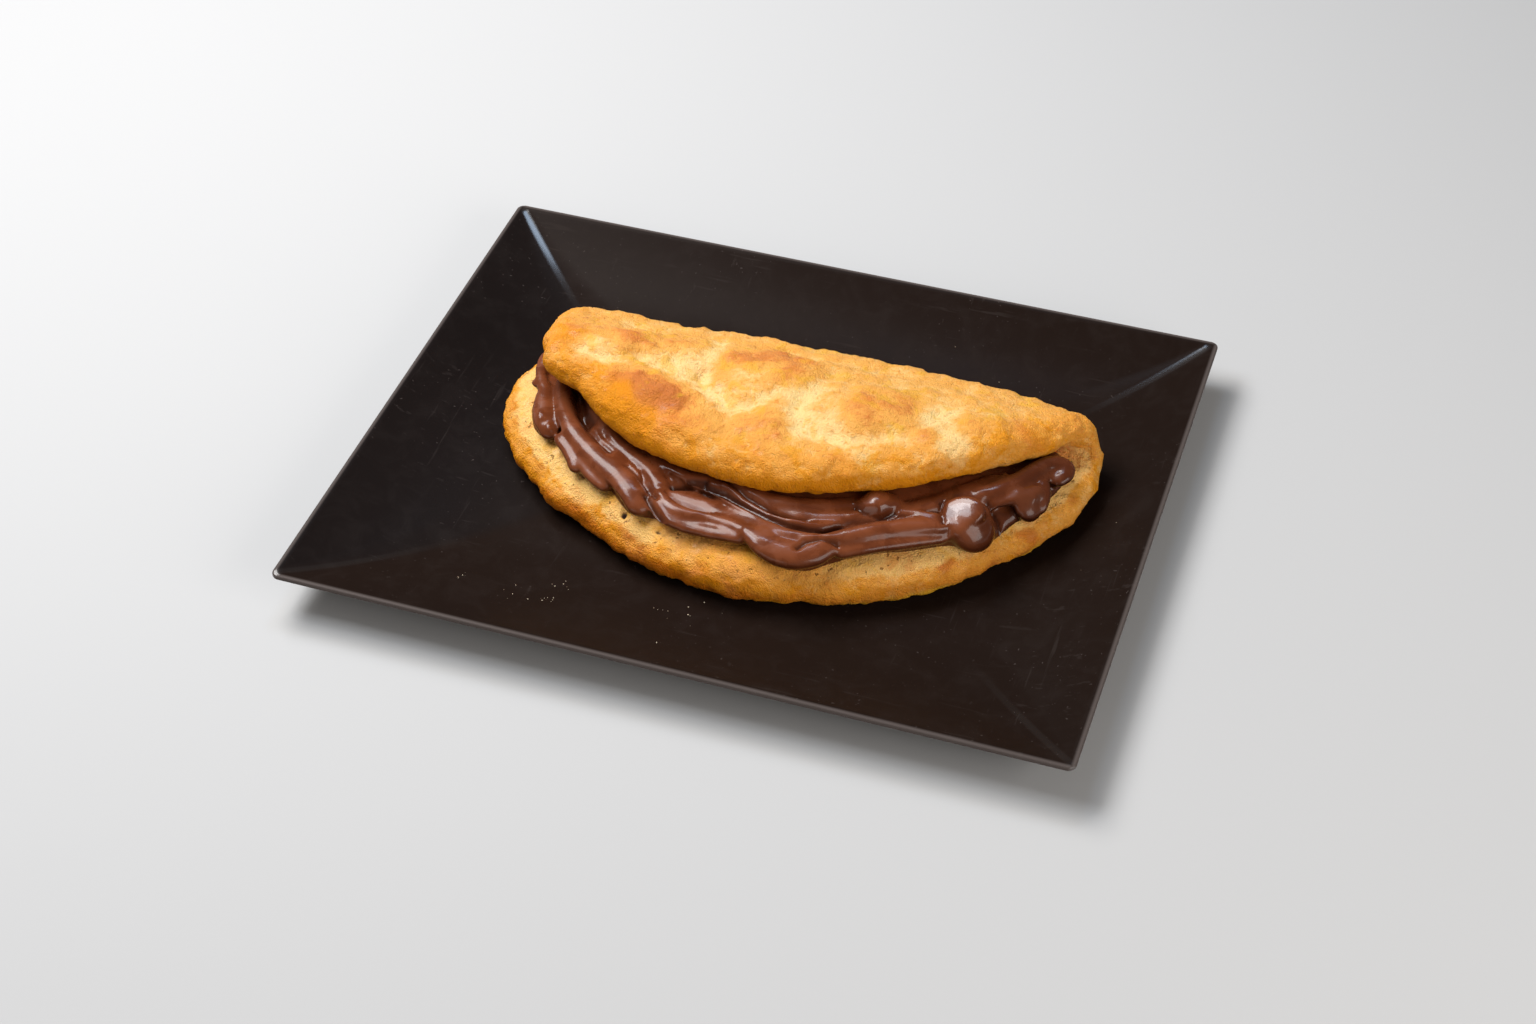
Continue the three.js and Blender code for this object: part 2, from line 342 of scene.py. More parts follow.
def plateMesh():
    rimTop = floorTop + plate["depth"]
    bend = plate["edgeRound"]
    insets = np.linspace(plate["lip"], plate["slope"], plate["slopeSteps"] + 1)
    turns = np.linspace(0, math.pi / 2, plate["roundSteps"] + 1)
    over = [plateContour(inset, plateHeight(inset)) for inset in insets[::-1]]
    edge = [plateContour(bend * (1 - math.sin(a)), rimTop - bend * (1 - math.cos(a))) for a in turns]
    low = rimTop - plate["wall"] + bend
    edge += [plateContour(bend * (1 - math.cos(a)), low - bend * math.sin(a)) for a in turns]
    under = [plateContour(inset, plateHeight(inset) - plate["wall"]) for inset in insets]
    return closedMesh("plate_dish", (0, 0, floorTop), over + edge + under, (0, 0, 0))


# the plate's cool tint is a painted reflection, and its lighter rim edge is a painted highlight in the dust
# colour
plateLook = {"colour": rgb(30, 21, 17), "reflectedCool": rgb(26, 21, 20), "dustAndRimHighlight": rgb(110, 100, 96),
             "roughness": 0.26, "shine": 0.02, "coatRoughness": 0.16, "bump": 0.35, "bumpDepth": 0.02,
             "creaseWidth": 2.2, "creaseLength": 44, "creaseCoat": 0.9, "rimHighlight": 0.5, "rimHighlightWidth": 1.6,
             "hazeSize": 38, "smearSize": 9, "speckSize": 1.1, "grainSize": 0.5, "scratchSize": 2.4,
             # each direction's turn, how it is drawn out, and its threshold
             "scratches": [(0.5, (0.08, 1, 1), 0.62), (-0.9, (1, 0.06, 1), 0.63)]}


def plateMaterial():
    material, graph, shader, place = newMaterial("black_plastic")
    look, step = plateLook, graph.step
    haze = graph.noise(place, look["hazeSize"], 4, 0.6)
    smear = step(graph.noise(place, look["smearSize"], 5, 0.65, 0.6), 0.42, 0.72)
    # hair scratches: two noises, each drawn out its own way, and strongest where the haze is
    scratches = 0
    for turn, stretch, low in look["scratches"]:
        mapping = {"Vector": place, "Rotation": (0, 0, turn), "Scale": stretch}
        drawn = graph.add("ShaderNodeMapping", {}, mapping)
        scratches = scratches + step(graph.noise(drawn, look["scratchSize"], 3, 0.7), low, low + 0.08)
    scratches = scratches * step(haze, 0.35, 0.65)
    roughness = look["roughness"] + 0.06 * haze + 0.05 * smear + 0.1 * scratches
    # dust: single specks, thicker where the haze is
    speck = step(graph.noise(place, look["speckSize"], 1, 0.5), 0.72, 0.78) * step(haze, 0.4, 0.6)
    dusty = 0.02 * smear + 0.06 * scratches + 0.25 * speck
    # offLine is 0 on the creases in the four corners, and beyond is 0 at the rim and negative inside it
    side = graph.part(place, "X")
    along, across = [graph.math("ABSOLUTE", value) for value in (side, graph.part(place, "Y"))]
    offLine = along - across - (plate["length"] - plate["width"]) / 2 * mm
    beyond = graph.math("MAXIMUM", along - plate["length"] / 2 * mm, across - plate["width"] / 2 * mm)
    # a cooler black on the left slope, up to its creases, which is a painted reflection, and a painted
    # highlight that makes the top edge lighter
    leftSlopeReflection = step(side, -20 * mm, -90 * mm) * step(offLine, -4 * mm, 4 * mm)
    rimHighlight = step(beyond, -look["rimHighlightWidth"] * mm, (1 - look["rimHighlightWidth"]) * mm) * look["rimHighlight"]
    colour = graph.coats(look["colour"], [
        (leftSlopeReflection, look["reflectedCool"]),
        (dusty, look["dustAndRimHighlight"]),
        (rimHighlight, look["dustAndRimHighlight"]),
    ])
    # the mould left the creases glossier
    width, reach = look["creaseWidth"] * mm, look["creaseLength"] * mm
    crease = step(graph.math("ABSOLUTE", offLine), width, 0.3 * width) * step(beyond, -reach, -0.3 * reach)
    grain = graph.noise(place, look["grainSize"], 2, 0.6)
    graph.feed(shader, {
        "Base Color": colour, "Roughness": roughness, "IOR": 1.49, "Specular IOR Level": look["shine"],
        "Normal": graph.bump(0.5 * grain + 0.5 * scratches, look["bumpDepth"], look["bump"]),
        "Coat Weight": crease * look["creaseCoat"], "Coat Roughness": look["coatRoughness"],
    })
    return material


def makePlate():
    piece = newPiece("plate_dish", plateMesh())
    piece.data.materials.append(plateMaterial())
    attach(piece, "root")
    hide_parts("plate")
    return piece


plateDish = makePlate()
print("plate:", len(plateDish.data.polygons), "faces")


# dough: a round of even thickness, folded over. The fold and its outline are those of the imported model
dough = {"centreX": 4, "halfWidth": 89, "halfLength": 79, "beyondFold": 15, "thickness": 10.6,
         "rimPuff": 2.6, "edgeRound": 7, "foldRadius": 13, "foldBack": 41.5, "foldBow": 1.5, "leftTurn": 4,
         "rightTurn": 6, "lift": 7, "liftLength": 74, "liftLean": 0.8, "liftFullness": 0.9,
         "leftTipLift": 4.5, "leftTipFrom": -30, "leftTipWidth": 40, "leftTipLength": 20, "puffAt": 0.86,
         "puffWidth": 0.1, "puffFrom": 30, "blisterFade": 12, "flapBlend": 16, "restGap": 0.3,
         "columns": 250, "rows": 178,
         # the patterns' edges: the seed, and the size and length of the shifts of rings, relief and colours
         "seed": 288, "ringShift": (12, 5), "reliefShift": (8, 2.2), "colourShift": (9, 6)}
unevenness = np.array([1.025, 0.96, 0.962, 0.97, 0.945, 0.985, 1.02, 0.985, 1.045, 1.045, 1.005, 0.985])
rimLobes = [(191, -0.14, 15), (218, 0.08, 8), (231, -0.012, 4)]
upperBlisters = [(-46, 9, 1.6, 9), (-30, -9, 2.2, 12), (-19, 5, -2.2, 7), (-9, -7, -1.6, 7),
                 (3, 11, 1.8, 13), (19, -11, -1.4, 8), (31, 3, 1.6, 12), (44, -9, -1, 8), (61, 8, 1.2, 11)]
lowerBlisters = [(-62, -20, 0.9, 9), (-30, -36, 1, 9), (6, -42, 1.2, 11), (44, -34, 1, 9), (76, -6, 0.8, 8)]
doughBase = floorTop + dough["restGap"]
foldCentreZ = doughBase + dough["foldRadius"]
midRadius = dough["foldRadius"] - dough["thickness"] / 2
halfBend = math.pi / 2 * midRadius


def roundAt(angle):
    count = len(unevenness)
    place = (angle / (2 * math.pi) * count + count) % count
    i = np.floor(place).astype(int)
    ring = [unevenness[(i + k) % count] for k in (-1, 0, 1, 2)]
    total = catmullRom(*ring, place - i)
    for at, share, width in rimLobes:
        away = (np.degrees(angle) - at + 540) % 360 - 180
        total = total + share * bell(away, width)
    return total


def acrossAt(x):
    return (x - dough["centreX"]) / dough["halfWidth"]


def bendAt(x):
    across = acrossAt(x)
    turn = np.where(across > 0, dough["rightTurn"] * across ** 8, dough["leftTurn"] * across ** 4)
    return dough["foldBack"] - dough["foldRadius"] - dough["foldBow"] * across ** 2 - turn


def rimShare(x, s):
    u = acrossAt(x)
    v = (s - dough["beyondFold"]) / dough["halfLength"]
    return np.hypot(u, v) / roundAt(np.arctan2(v, u))


def doughThickness(x, s):
    puff = dough["rimPuff"] * bell(rimShare(x, s) - dough["puffAt"], dough["puffWidth"])
    return dough["thickness"] + puff * smooth(np.abs(s) / dough["puffFrom"])


def edgeFullness(x, s):
    return rounded((1 - rimShare(x, s)) * dough["halfLength"], dough["edgeRound"])


def upperLift(x, ahead):
    along = np.clip(ahead / dough["liftLength"], 0, 1) ** dough["liftLean"]
    return dough["lift"] * (1 - acrossAt(x) ** 4) * np.sin(math.pi * along) ** dough["liftFullness"]


def leftGape(x, ahead):
    outward = smooth((dough["leftTipFrom"] - x) / dough["leftTipWidth"])
    return dough["leftTipLift"] * outward * smooth(ahead / dough["leftTipLength"])


# blisters fade out towards the fold
def blistersAt(places, x, y, ahead):
    return bellsAt(places, x, y) * smooth(ahead / dough["blisterFade"])


def lowerTop(x, y):
    ahead = bendAt(x) - y
    s = ahead + halfBend
    fullness = edgeFullness(x, s)
    swell = blistersAt(lowerBlisters, x, y, ahead) * fullness
    return doughBase + doughThickness(x, s) * (1 + fullness) / 2 + swell + plateRise(x, y)


def upperUnderside(x, y):
    ahead = bendAt(x) - y
    top = foldCentreZ + dough["foldRadius"] + upperLift(x, ahead)
    return top - doughThickness(x, -ahead - halfBend) + plateRise(x, y)


# x and s are places in the flat round, s counted from the fold and positive on the lower flap;
# through is -1 on the outer crust and 1 on the inner one
def doughPoints(x, s, through):
    thickness = doughThickness(x, s)
    fullness = edgeFullness(x, s)
    offset = through * thickness * fullness / 2
    ahead = np.abs(s) - halfBend
    angle = s / midRadius
    radius = dough["foldRadius"] - thickness / 2 - offset
    inFold = ahead <= 0
    y = np.where(inFold, bendAt(x) + radius * np.cos(angle), bendAt(x) - ahead)
    rise = plateRise(x, y)
    foldZ = foldCentreZ - radius * np.sin(angle) + rise
    lowerZ = np.where(through > 0, lowerTop(x, y), doughBase + thickness / 2 + offset + rise)
    swell = np.where(through < 0, blistersAt(upperBlisters, x, y, ahead) * fullness, 0)
    upperZ = upperUnderside(x, y) + thickness / 2 - offset + leftGape(x, ahead) + swell
    return np.stack([x, y, np.where(inFold, foldZ, np.where(s > 0, lowerZ, upperZ))], axis=-1)


def flatRound(a, b):
    out = roundAt(np.arctan2(b, a))
    x = dough["centreX"] + dough["halfWidth"] * a * out
    return x, dough["beyondFold"] + dough["halfLength"] * b * out


# loops over the outer crust and back along the inner one, with each point's place in the flat round
def doughLoops():
    places = spacing(dough["columns"], -1, 1, lambda t: 1 + 2.2 * np.exp(-(1 - np.abs(t)) / 0.05))[1:-1]
    foldAt = -dough["beyondFold"] / dough["halfLength"]
    flat = []
    for a in places:
        reach = math.sqrt(1 - a * a)
        b = spacing(dough["rows"], -reach, reach,
                    lambda t: 1 + 0.8 * bell(t - foldAt, 0.16) + 1.6 * np.exp(-(reach - np.abs(t)) / 0.06))
        side = np.concatenate([-np.ones(len(b)), np.ones(len(b) - 2)])
        loop = np.concatenate([b, b[-2:0:-1]])
        flat.append(np.stack([*flatRound(np.full_like(loop, a), loop), side], axis=1))
    return np.array(flat)


# toasted patches of the upper flap's crust and pale stretches (negative): x, y, strength, radius
toasted = [(-47, 15, 0.8, 6), (-41, 12, 0.7, 5), (-33, 19, 0.6, 7), (-66, 9, 0.6, 4), (-60, 18, 0.25, 6),
           (-34, -3, 0.9, 8), (-27, -9, 0.9, 8), (-38, -12, 0.7, 7), (-22, -12, 0.7, 6), (-43, -7, 0.6, 6),
           (-33, -20, 0.6, 6), (-74, 12, 0.8, 3.5), (-24, -22, 0.5, 5), (-12, 17, 0.9, 7), (-4, 22, 0.6, 6),
           (3, 15, 0.9, 6), (12, 16, 0.4, 6), (-18, -21, 0.4, 7), (26, 5, 0.5, 6), (36, 10, 0.6, 7),
           (42, 8, 0.3, 6), (38, 1, 0.4, 6), (47, 0, 0.7, 3.5), (2, -13, 0.6, 7), (-4, -10, 0.4, 5),
           (32, -17, 0.45, 6), (62, 9, 0.35, 6), (72, 16, 0.5, 6), (79, 12, 0.55, 6), (87, 27, 0.5, 5),
           (-56, 8, 0.2, 5), (13, -22, 0.3, 6), (-58, 24, 0.2, 6), (-50, 2, -0.6, 4), (20, -7, -0.5, 6),
           (57, -6, -0.5, 5), (48, 8, -0.4, 4), (-22, 16, -0.6, 6), (54, -2, -0.8, 4), (32, -15, -0.8, 5),
           (12, -18, -0.5, 4), (66, 15, -0.6, 5), (-6, 6, -0.5, 4), (17, -1, -0.6, 4), (-53, 22, -0.5, 5),
           (-55, -1, -0.6, 3), (-8, -21, -0.4, 4)]
# amber stretches of the upper crust, mostly along its lip
ambers = [(-44, -15, 1.0, 9), (-55, -4, 0.7, 7), (-32, -22, 0.9, 8), (-16, -27, 0.6, 8), (-64, 6, 0.6, 6),
          (30, -23, 0.5, 9), (80, 14, 0.6, 7), (-23, 9, 0.6, 4), (60, -14, 0.4, 8), (6, -25, 0.6, 9),
          (-38, -18, 0.8, 7)]
# torn pores of the inner face beside the spread: x, y, depth, radius
tears = [(-29, -38, 1.9, 1), (-18.6, -40.4, 1.2, 1), (-16.4, -41, 0.8, 1.2), (-12.8, -42.6, 0.8, 0.9),
         (-47, -31, 0.7, 0.8), (33, -42, 0.6, 1.2), (37.5, -40.5, 0.7, 0.9), (52, -33, 0.5, 1)]
# brown stretches of the lower flap's rim
singed = [(-24, -48, 0.6, 9), (-5, -49, 0.4, 7), (63, -27, 0.9, 6), (72, -17, 0.7, 4), (80, -8, 0.8, 5),
          (44, -38, 0.4, 4), (-46, -38, 0.35, 8), (-66, -26, 0.4, 7), (30, -46, 0.3, 7), (9, -50, 0.5, 8),
          (-79, -8, 0.4, 8), (92, 8, 0.5, 7)]
# creases that the pan and the fold pressed into the upper crust: depth, half width and line
creases = [
    (1.5, 3, [(-56, 2), (-51, 1), (-43, 7), (-36, 7), (-30, 5), (-24, 3), (-18, 1), (-12, -4), (-3, -4),
        (3, 1), (9, 5)]),
    (1.0, 2.4, [(-37, 15), (-29, 11), (-22, 7), (-16, 0)]),
    (0.8, 3, [(-22, 26), (-24, 18), (-23, 8)]),
    (1.3, 3, [(15, 19), (12, 7), (11, -1), (14, -7), (19, -9), (28, -10), (37, -6), (43, -2), (47, 5),
        (52, 12)]),
    (0.8, 3, [(50, 8), (56, 0), (58, -10)]),
    (0.9, 1.3, [(-57, 4), (-56, -1), (-53, -6)]),
    (0.5, 1.6, [(60, 4), (69, 4), (78, 6)]),
    (0.5, 2, [(-8, -12), (2, -20), (16, -22)]),
]
# rings and arcs in the crust round a burst blister
swirl = {"x": -29, "y": -8, "inner": 2, "outer": 13, "apart": 2.7, "height": 0.3, "squash": 1.35,
         "arcDepth": 0.35, "arcWidth": 1.1}
swirlArcs = [[(-42, -6), (-40, 0), (-36, 3), (-30, 3), (-24, 0), (-20, -5), (-19, -10), (-21, -15)],
             [(-36, -6), (-34, -1), (-29, -1), (-25, -4)], [(-31, -10), (-26, -12), (-22, -11)]]
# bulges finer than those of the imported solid: x, y, height, radius
bulges = [(-47, 15, 0.8, 6), (-32, 20, 0.7, 6), (-10, 17, 0.8, 7), (4, 17, 0.7, 6), (31, 3, 1.0, 8),
          (-31, -8, 1.2, 7), (-38, -17, 0.5, 6), (-12, -16, 0.6, 7), (8, -14, 0.6, 6), (34, -18, 0.7, 6),
          (44, -13, 0.5, 5), (66, 12, 0.5, 6), (-66, 12, 0.6, 6), (47, 0, 0.6, 3), (22, -20, 0.6, 5),
          (72, 2, 0.4, 4)]
# small pits in the upper crust: x, y, depth, radius
pits = [(-22, 6, 1.6, 2), (-30, 10, 0.8, 1.6), (-42, 11, 0.7, 1.4), (-10, -1, 0.8, 2), (28, 31, 0.6, 2),
        (50, 18, 0.4, 2), (-58, -2, 0.5, 2.5), (-50, 12, 0.4, 1.5), (4, -7, 0.5, 1.5), (17, 10, 0.5, 1.8)]


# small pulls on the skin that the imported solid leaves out: middle, radius, pull, and 1 for the lower flap
pulls = [((-75, 1), 7, (4.2, 0.3, 0), 0), ((-69, 19), 9, (-1.8, 0.9, 0.9), 0),
         ((87, 30), 13, (-1, -0.6, -1), 0), ((-34, 41), 20, (0, -1, -0.7), 0),
         ((-82, -8), 10, (-1.3, 0, 0), 1), ((-73, -25), 7, (-1.4, -0.8, 0), 1),
         ((-28, -50), 12, (0, -1.2, 0), 1), ((62, -38), 9, (0.5, -0.6, 0), 1),
         ((-54, -31), 9, (-1.1, -1.3, 0), 1), ((4, -50), 9, (0, -1.2, 0), 1),
         ((74, -17), 8, (-0.6, 0.9, 0), 1), ((84, -2), 8, (-1, 0.7, 0), 1),
         ((91, 15), 10, (-1.1, 0.3, 0), 1), ((-66, 25), 7, (0, 0.9, 0.9), 0),
         ((-45, 30), 9, (0, -0.6, -0.8), 0), ((72, 36), 10, (0, -0.9, -1.2), 0)]


def pulled(points, lower):
    moves = np.zeros_like(points)
    for (x, y), radius, pull, onLower in pulls:
        share = bell(np.hypot(points[:, 0] - x, points[:, 1] - y), radius)
        moves += (share * (lower if onLower else 1 - lower))[:, None] * np.array(pull, float)
    return points + moves


# x and y of points shifted by soft noise, so that patches get uneven edges
def warped(points, size, amount):
    shifts = np.array([noise.noise_vector(Vector(point) / size) for point in points.tolist()])
    return (points + amount * shifts)[:, :2].T


def fromSwirl(x, y):
    return np.hypot(x - swirl["x"], (y - swirl["y"]) * swirl["squash"])


def doughMesh():
    x, s, through = np.moveaxis(doughLoops(), -1, 0)
    loops = doughPoints(x, s, through)
    ends = [doughPoints(*flatRound(np.array([a]), np.zeros(1)), np.zeros(1))[0] for a in (-1.0, 1.0)]
    points = loops.reshape(-1, 3)
    inside = (1 - rimShare(x, s).ravel()) * dough["halfLength"]
    s, through = s.ravel(), through.ravel()
    lower = smooth(0.5 + s / dough["flapBlend"])
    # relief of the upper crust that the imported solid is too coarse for
    noise.seed_set(dough["seed"])
    fromMiddle = fromSwirl(points[:, 0], points[:, 1])
    turn = fromSwirl(*warped(points, *dough["ringShift"])) / swirl["apart"]
    rings = np.sin(2 * math.pi * turn) * swirl["height"]
    rings *= smooth((fromMiddle - swirl["inner"]) / 3) * smooth((swirl["outer"] - fromMiddle) / 6)
    wavy = warped(points, *dough["reliefShift"])
    arcs = sum(bell(fromLine(*wavy, line), swirl["arcWidth"]) for line in swirlArcs)
    raised = bellsAt(bulges, *wavy) + rings - creasesAt(creases, *wavy) - bellsAt(pits, *points[:, :2].T)
    upperOut = (through < 0) * smooth((-s - 6) / 10) * smooth(inside / 6)
    raised = upperOut * (raised - swirl["arcDepth"] * arcs)
    torn = (through > 0) * (s > 0) * bellsAt(tears, *wavy)
    points[:, 2] += raised - torn
    points[:] = pulled(points, lower)
    mesh = closedMesh("dough_bread", ends[0], points.reshape(loops.shape), ends[1])
    # what the colours follow: places browned and pale, and how much of the crust shows
    soft = warped(points, *dough["colourShift"])
    onTop = smooth((-s - 2) / 8) * (through < 0)
    toast = (bellsAt(toasted, *soft) + 0.5 * arcs - 0.17 * creasesAt(creases, *soft, 2)) * onTop
    toast += bellsAt(singed, *soft) * (1 - onTop) * smooth((s - 20) / 10)
    crust = np.where(through < 0, 1.0, smooth(1 - (inside - 0.5) / 5))
    underneath = (through < 0) * smooth(s / 8) * smooth((inside - 2) / 5)
    relief = np.where(through < 0, 1 - 0.9 * underneath, 0.7)
    signals = {"toast": (toast, 0), "crust": (crust, 1), "inside": (inside, 0), "flap": (lower, 1),
               "relief": (relief, 0.5), "raised": (raised, 0), "amber": (bellsAt(ambers, *soft) * onTop, 0),
               "torn": (torn, 0)}
    for name, (values, atEnds) in signals.items():
        setValues(mesh, name, np.concatenate([[atEnds], values, [atEnds]]))
    return mesh


crustRelief = {"Swell Size": 17.0, "Swell Height": 1.2, "Dimple Size": 6.0, "Dimple Height": 1.7,
               "Pucker Size": 2.5, "Pucker Height": 0.7, "Seed": 3.0}
crustPatterns = [("Swell", 1.0, (1, 1, 1)), ("Dimple", 2.0, (1, 1, 1)), ("Pucker", 2.0, (1, 1, 1))]
crustLook = {"golden": rgb(240, 171, 80), "pale": rgb(250, 213, 144), "toast": rgb(220, 130, 56),
             # amber also colours the steep sides, where it is partly painted shade
             "deepToast": rgb(190, 102, 48), "sunny": rgb(234, 176, 40), "amber": rgb(228, 140, 0),
             "brown": rgb(206, 108, 8), "fleck": rgb(206, 112, 40), "inner": rgb(240, 164, 68),
             "innerPale": rgb(254, 200, 118), "tanned": rgb(222, 142, 68), "yellow": rgb(242, 172, 30),
             # the torn colour is painted shade in the hollows of the torn pores
             "pore": rgb(140, 80, 26), "torn": rgb(50, 22, 8),
             # how much of each colour goes on where its pattern is strongest
             "paleShare": 0.95, "toastShare": 0.85, "deepShare": 0.6, "sunnyShare": 0.45, "ripeShare": 0.85,
             "singeShare": 0.6, "fleckShare": 0.35, "nearShare": 0.5, "yellowShare": 0.4,
             "brownedShare": 0.5,
             # the patterns' sizes, and how far each one browns the crust
             "cloudSize": 16, "patchSize": 7.5, "mottleSize": 3.8, "crumbSize": 1.9, "grainSize": 0.9,
             "fineSize": 0.45, "raisedHeat": 0.45, "swellingHeat": 0.35, "cloudHeat": 0.8, "mottleHeat": 2.1,
             "crumbHeat": 1.1, "grainHeat": 1.1,
             "roughness": 0.42, "shine": 0.22, "coat": 0.16, "coatRoughness": 0.2, "bumpDepth": 1.2}


def crustMaterial():
    material, graph, shader, place = newMaterial("fried_crust")
    look, step = crustLook, graph.step
    names = ("toast", "crust", "inside", "flap", "raised", "swelling", "amber", "torn")
    toast, crust, inside, flap, raised, swelling, amber, torn = [graph.attribute(name) for name in names]
    across = graph.part(place, "X")
    drawn = graph.add("ShaderNodeMapping", {}, {"Vector": place, "Scale": (0.6, 1, 1)})
    cloud = graph.noise(place, look["cloudSize"], 3, 0.55, 0.4)
    mottle = graph.noise(drawn, look["mottleSize"], 4, 0.65)
    patch = graph.noise(place, look["patchSize"], 3, 0.6, 0.6)
    grain = graph.noise(place, look["grainSize"], 3, 0.7)
    crumb = graph.noise(place, look["crumbSize"], 3, 0.6)
    # the same patterns about 0, which make every edge below uneven
    clouds, mottles, patches, grains, crumbs = [each - 0.5 for each in (cloud, mottle, patch, grain, crumb)]
    # how brown it is fried: least in its hollows and most on its blisters
    heat = toast + raised * look["raisedHeat"] + swelling * look["swellingHeat"] + clouds * look["cloudHeat"]
    heat = heat + mottles * look["mottleHeat"] + crumbs * look["crumbHeat"] + grains * look["grainHeat"]
    pale = step(heat, 0.1, -0.5)
    # yellow and amber stretches, on the lip most of all
    yellow = step(patch + crumbs * 0.3, 0.52, 0.66)
    lip = step(inside + mottles * 10, 13, 3) * (0.4 + 0.4 * yellow) * (1 - 0.6 * pale)
    ripe = step(amber + mottles * 0.9 + patches * 0.5, 0.2, 0.9)
    # steep sides are a deeper colour, partly from frying and partly painted shade, less so at the right end
    # and on the lower flap's right half
    rightHalf = step(across + clouds * (60 * mm), 8 * mm, 30 * mm)
    friedSidesAndShade = step(graph.upward() + mottles * 0.3, 0.85, 0.3) * (1 - 0.35 * pale)
    friedSidesAndShade = friedSidesAndShade * (0.97 - 0.75 * step(across, 55 * mm, 80 * mm)) * (1 - 0.55 * rightHalf * flap)
    singe = step(toast + mottles * 0.9 + patches * 0.6, 0.3, 0.75) * flap
    fleck = step(crumb + grains * 0.5, 0.62, 0.72)
    # a brown band runs round the lower flap's rim, half way up its side, and below it the rim is yellow
    level = graph.part(place, "Z") + clouds * (12 * mm) + mottles * (5 * mm)
    band = step(level, 10 * mm, 7.5 * mm) * step(level, 2.5 * mm, 5 * mm) * flap * (0.8 - 0.5 * rightHalf)
    below = step(level, 6.5 * mm, 3 * mm) * flap * (0.25 + 0.5 * rightHalf)
    outer = graph.coats(look["golden"], [
        (step(heat, 0.15, -1.2) * look["paleShare"], look["pale"]),
        (step(heat, 0.15, 1.25) * look["toastShare"], look["toast"]),
        (step(heat, 0.9, 2.0) * look["deepShare"], look["deepToast"]),
        (yellow * look["sunnyShare"], look["sunny"]),
        (lip, look["amber"]),
        (ripe * look["ripeShare"], look["amber"]),
        # painted shade, in part: deeper amber on the steep sides
        (friedSidesAndShade, look["amber"]),
        (singe * look["singeShare"], look["deepToast"]),
        (fleck * look["fleckShare"], look["fleck"]),
        (band, look["brown"]),
        (below, look["sunny"]),
    ])
    # the inner face is like soft dough: paler towards both ends, and tanned where it meets the spread
    paler = step(across + clouds * (80 * mm) + patches * (60 * mm), 5 * mm, -45 * mm)
    paler = paler + 0.85 * step(across + patches * (60 * mm), 20 * mm, 50 * mm)
    near = step(inside + mottles * 4 + patches * 5, 6.5, 11)
    browned = step(patch + grains * 0.3, 0.44, 0.32)
    inner = graph.coats(look["inner"], [
        (paler, look["innerPale"]),
        (near * look["nearShare"], look["tanned"]),
        (yellow * look["yellowShare"], look["yellow"]),
        (browned * look["brownedShare"], look["tanned"]),
    ])
    innerShare = step(crust + mottles * 0.8 + patches * 1.5, 0.75, 0.3)
    pores = step(crumb, 0.37, 0.29) * (0.15 + 0.6 * innerShare)
    colour = graph.coats(outer, [
        (innerShare, inner),
        (pores, look["pore"]),
        # painted shade: the torn pores are darkened as deep as they go
        (step(torn, 0.35, 1.3), look["torn"]),
    ])
    greasy = step(mottle, 0.45, 0.7)
    fine = graph.noise(place, look["fineSize"], 2, 0.5)
    relief = 0.45 * grain + 0.25 * fine + 0.5 * crumb + 0.35 * mottle - 0.4 * pores
    graph.feed(shader, {
        "Base Color": colour, "Roughness": look["roughness"] + 0.24 * grain - 0.08 * greasy,
        "Normal": graph.bump(relief, look["bumpDepth"], 1.0),
        "IOR": 1.45, "Specular IOR Level": look["shine"],
        "Coat Weight": look["coat"] * greasy, "Coat Roughness": look["coatRoughness"],
        "Subsurface Weight": 0.08, "Subsurface Radius": (1.0, 0.45, 0.15), "Subsurface Scale": 3 * mm,
    })
    return material


def makeDough():
    piece = newPiece("dough_bread", doughMesh())
    addTree(piece, reliefTree("crust relief", crustRelief, crustPatterns), crustRelief, crustMaterial())
    applyModifiers(piece)
    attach(piece, "root")
    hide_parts("dough")
    return piece


doughBread = makeDough()
print("dough:", len(doughBread.data.polygons), "faces")


# chocolate spread: the body between the flaps, and the strokes that the knife left at the mouth
filling = {"left": -75.5, "right": 87, "endY": 12, "endRound": 9,
           "reachLeft": 12.5, "reachRight": 17, "reachFrom": -10, "reachWidth": 40,
           "fromRim": 4.5, "backGap": 1, "edgeRound": 5, "thinnest": 2.5, "columns": 150, "rows": 60,
           "sink": 0.9, "fullness": 0.7, "frontDrop": 0.4, "widest": 0.4, "topGap": 0.7, "rimGap": 0.6,
           "rimGapLength": 6, "voxel": 0.53, "smoothing": 12, "smoothFactor": 0.6, "deepestGroove": 2.4}
fillingLobes = [(-70, -3.5, 5), (-57, -4, 5), (-47, 1.5, 4), (-38, -2, 5), (-27, 3, 7), (8, -4, 7),
                (24, 4.5, 9), (70, 5, 6), (82, 2, 4)]


# the y of a flap's rim, found by halving: side is -1 for the upper flap and 1 for the lower one
def flapFront(x, side):
    inside = np.zeros_like(x)
    outside = np.full_like(x, side * 2 * dough["halfLength"])
    for _ in range(24):
        middle = (inside + outside) / 2
        within = rimShare(x, middle) < 1
        inside = np.where(within, middle, inside)
        outside = np.where(within, outside, middle)
    return bendAt(x) - np.maximum(np.abs(inside) - halfBend, 0)


def fillingFront(x):
    lobes = sum(out * bell(x - at, width) for at, out, width in fillingLobes)
    rightShare = smooth((x - filling["reachFrom"]) / filling["reachWidth"])
    reach = filling["reachLeft"] + (filling["reachRight"] - filling["reachLeft"]) * rightShare
    return np.maximum(flapFront(x, -1) - reach - lobes, flapFront(x, 1) + filling["fromRim"])


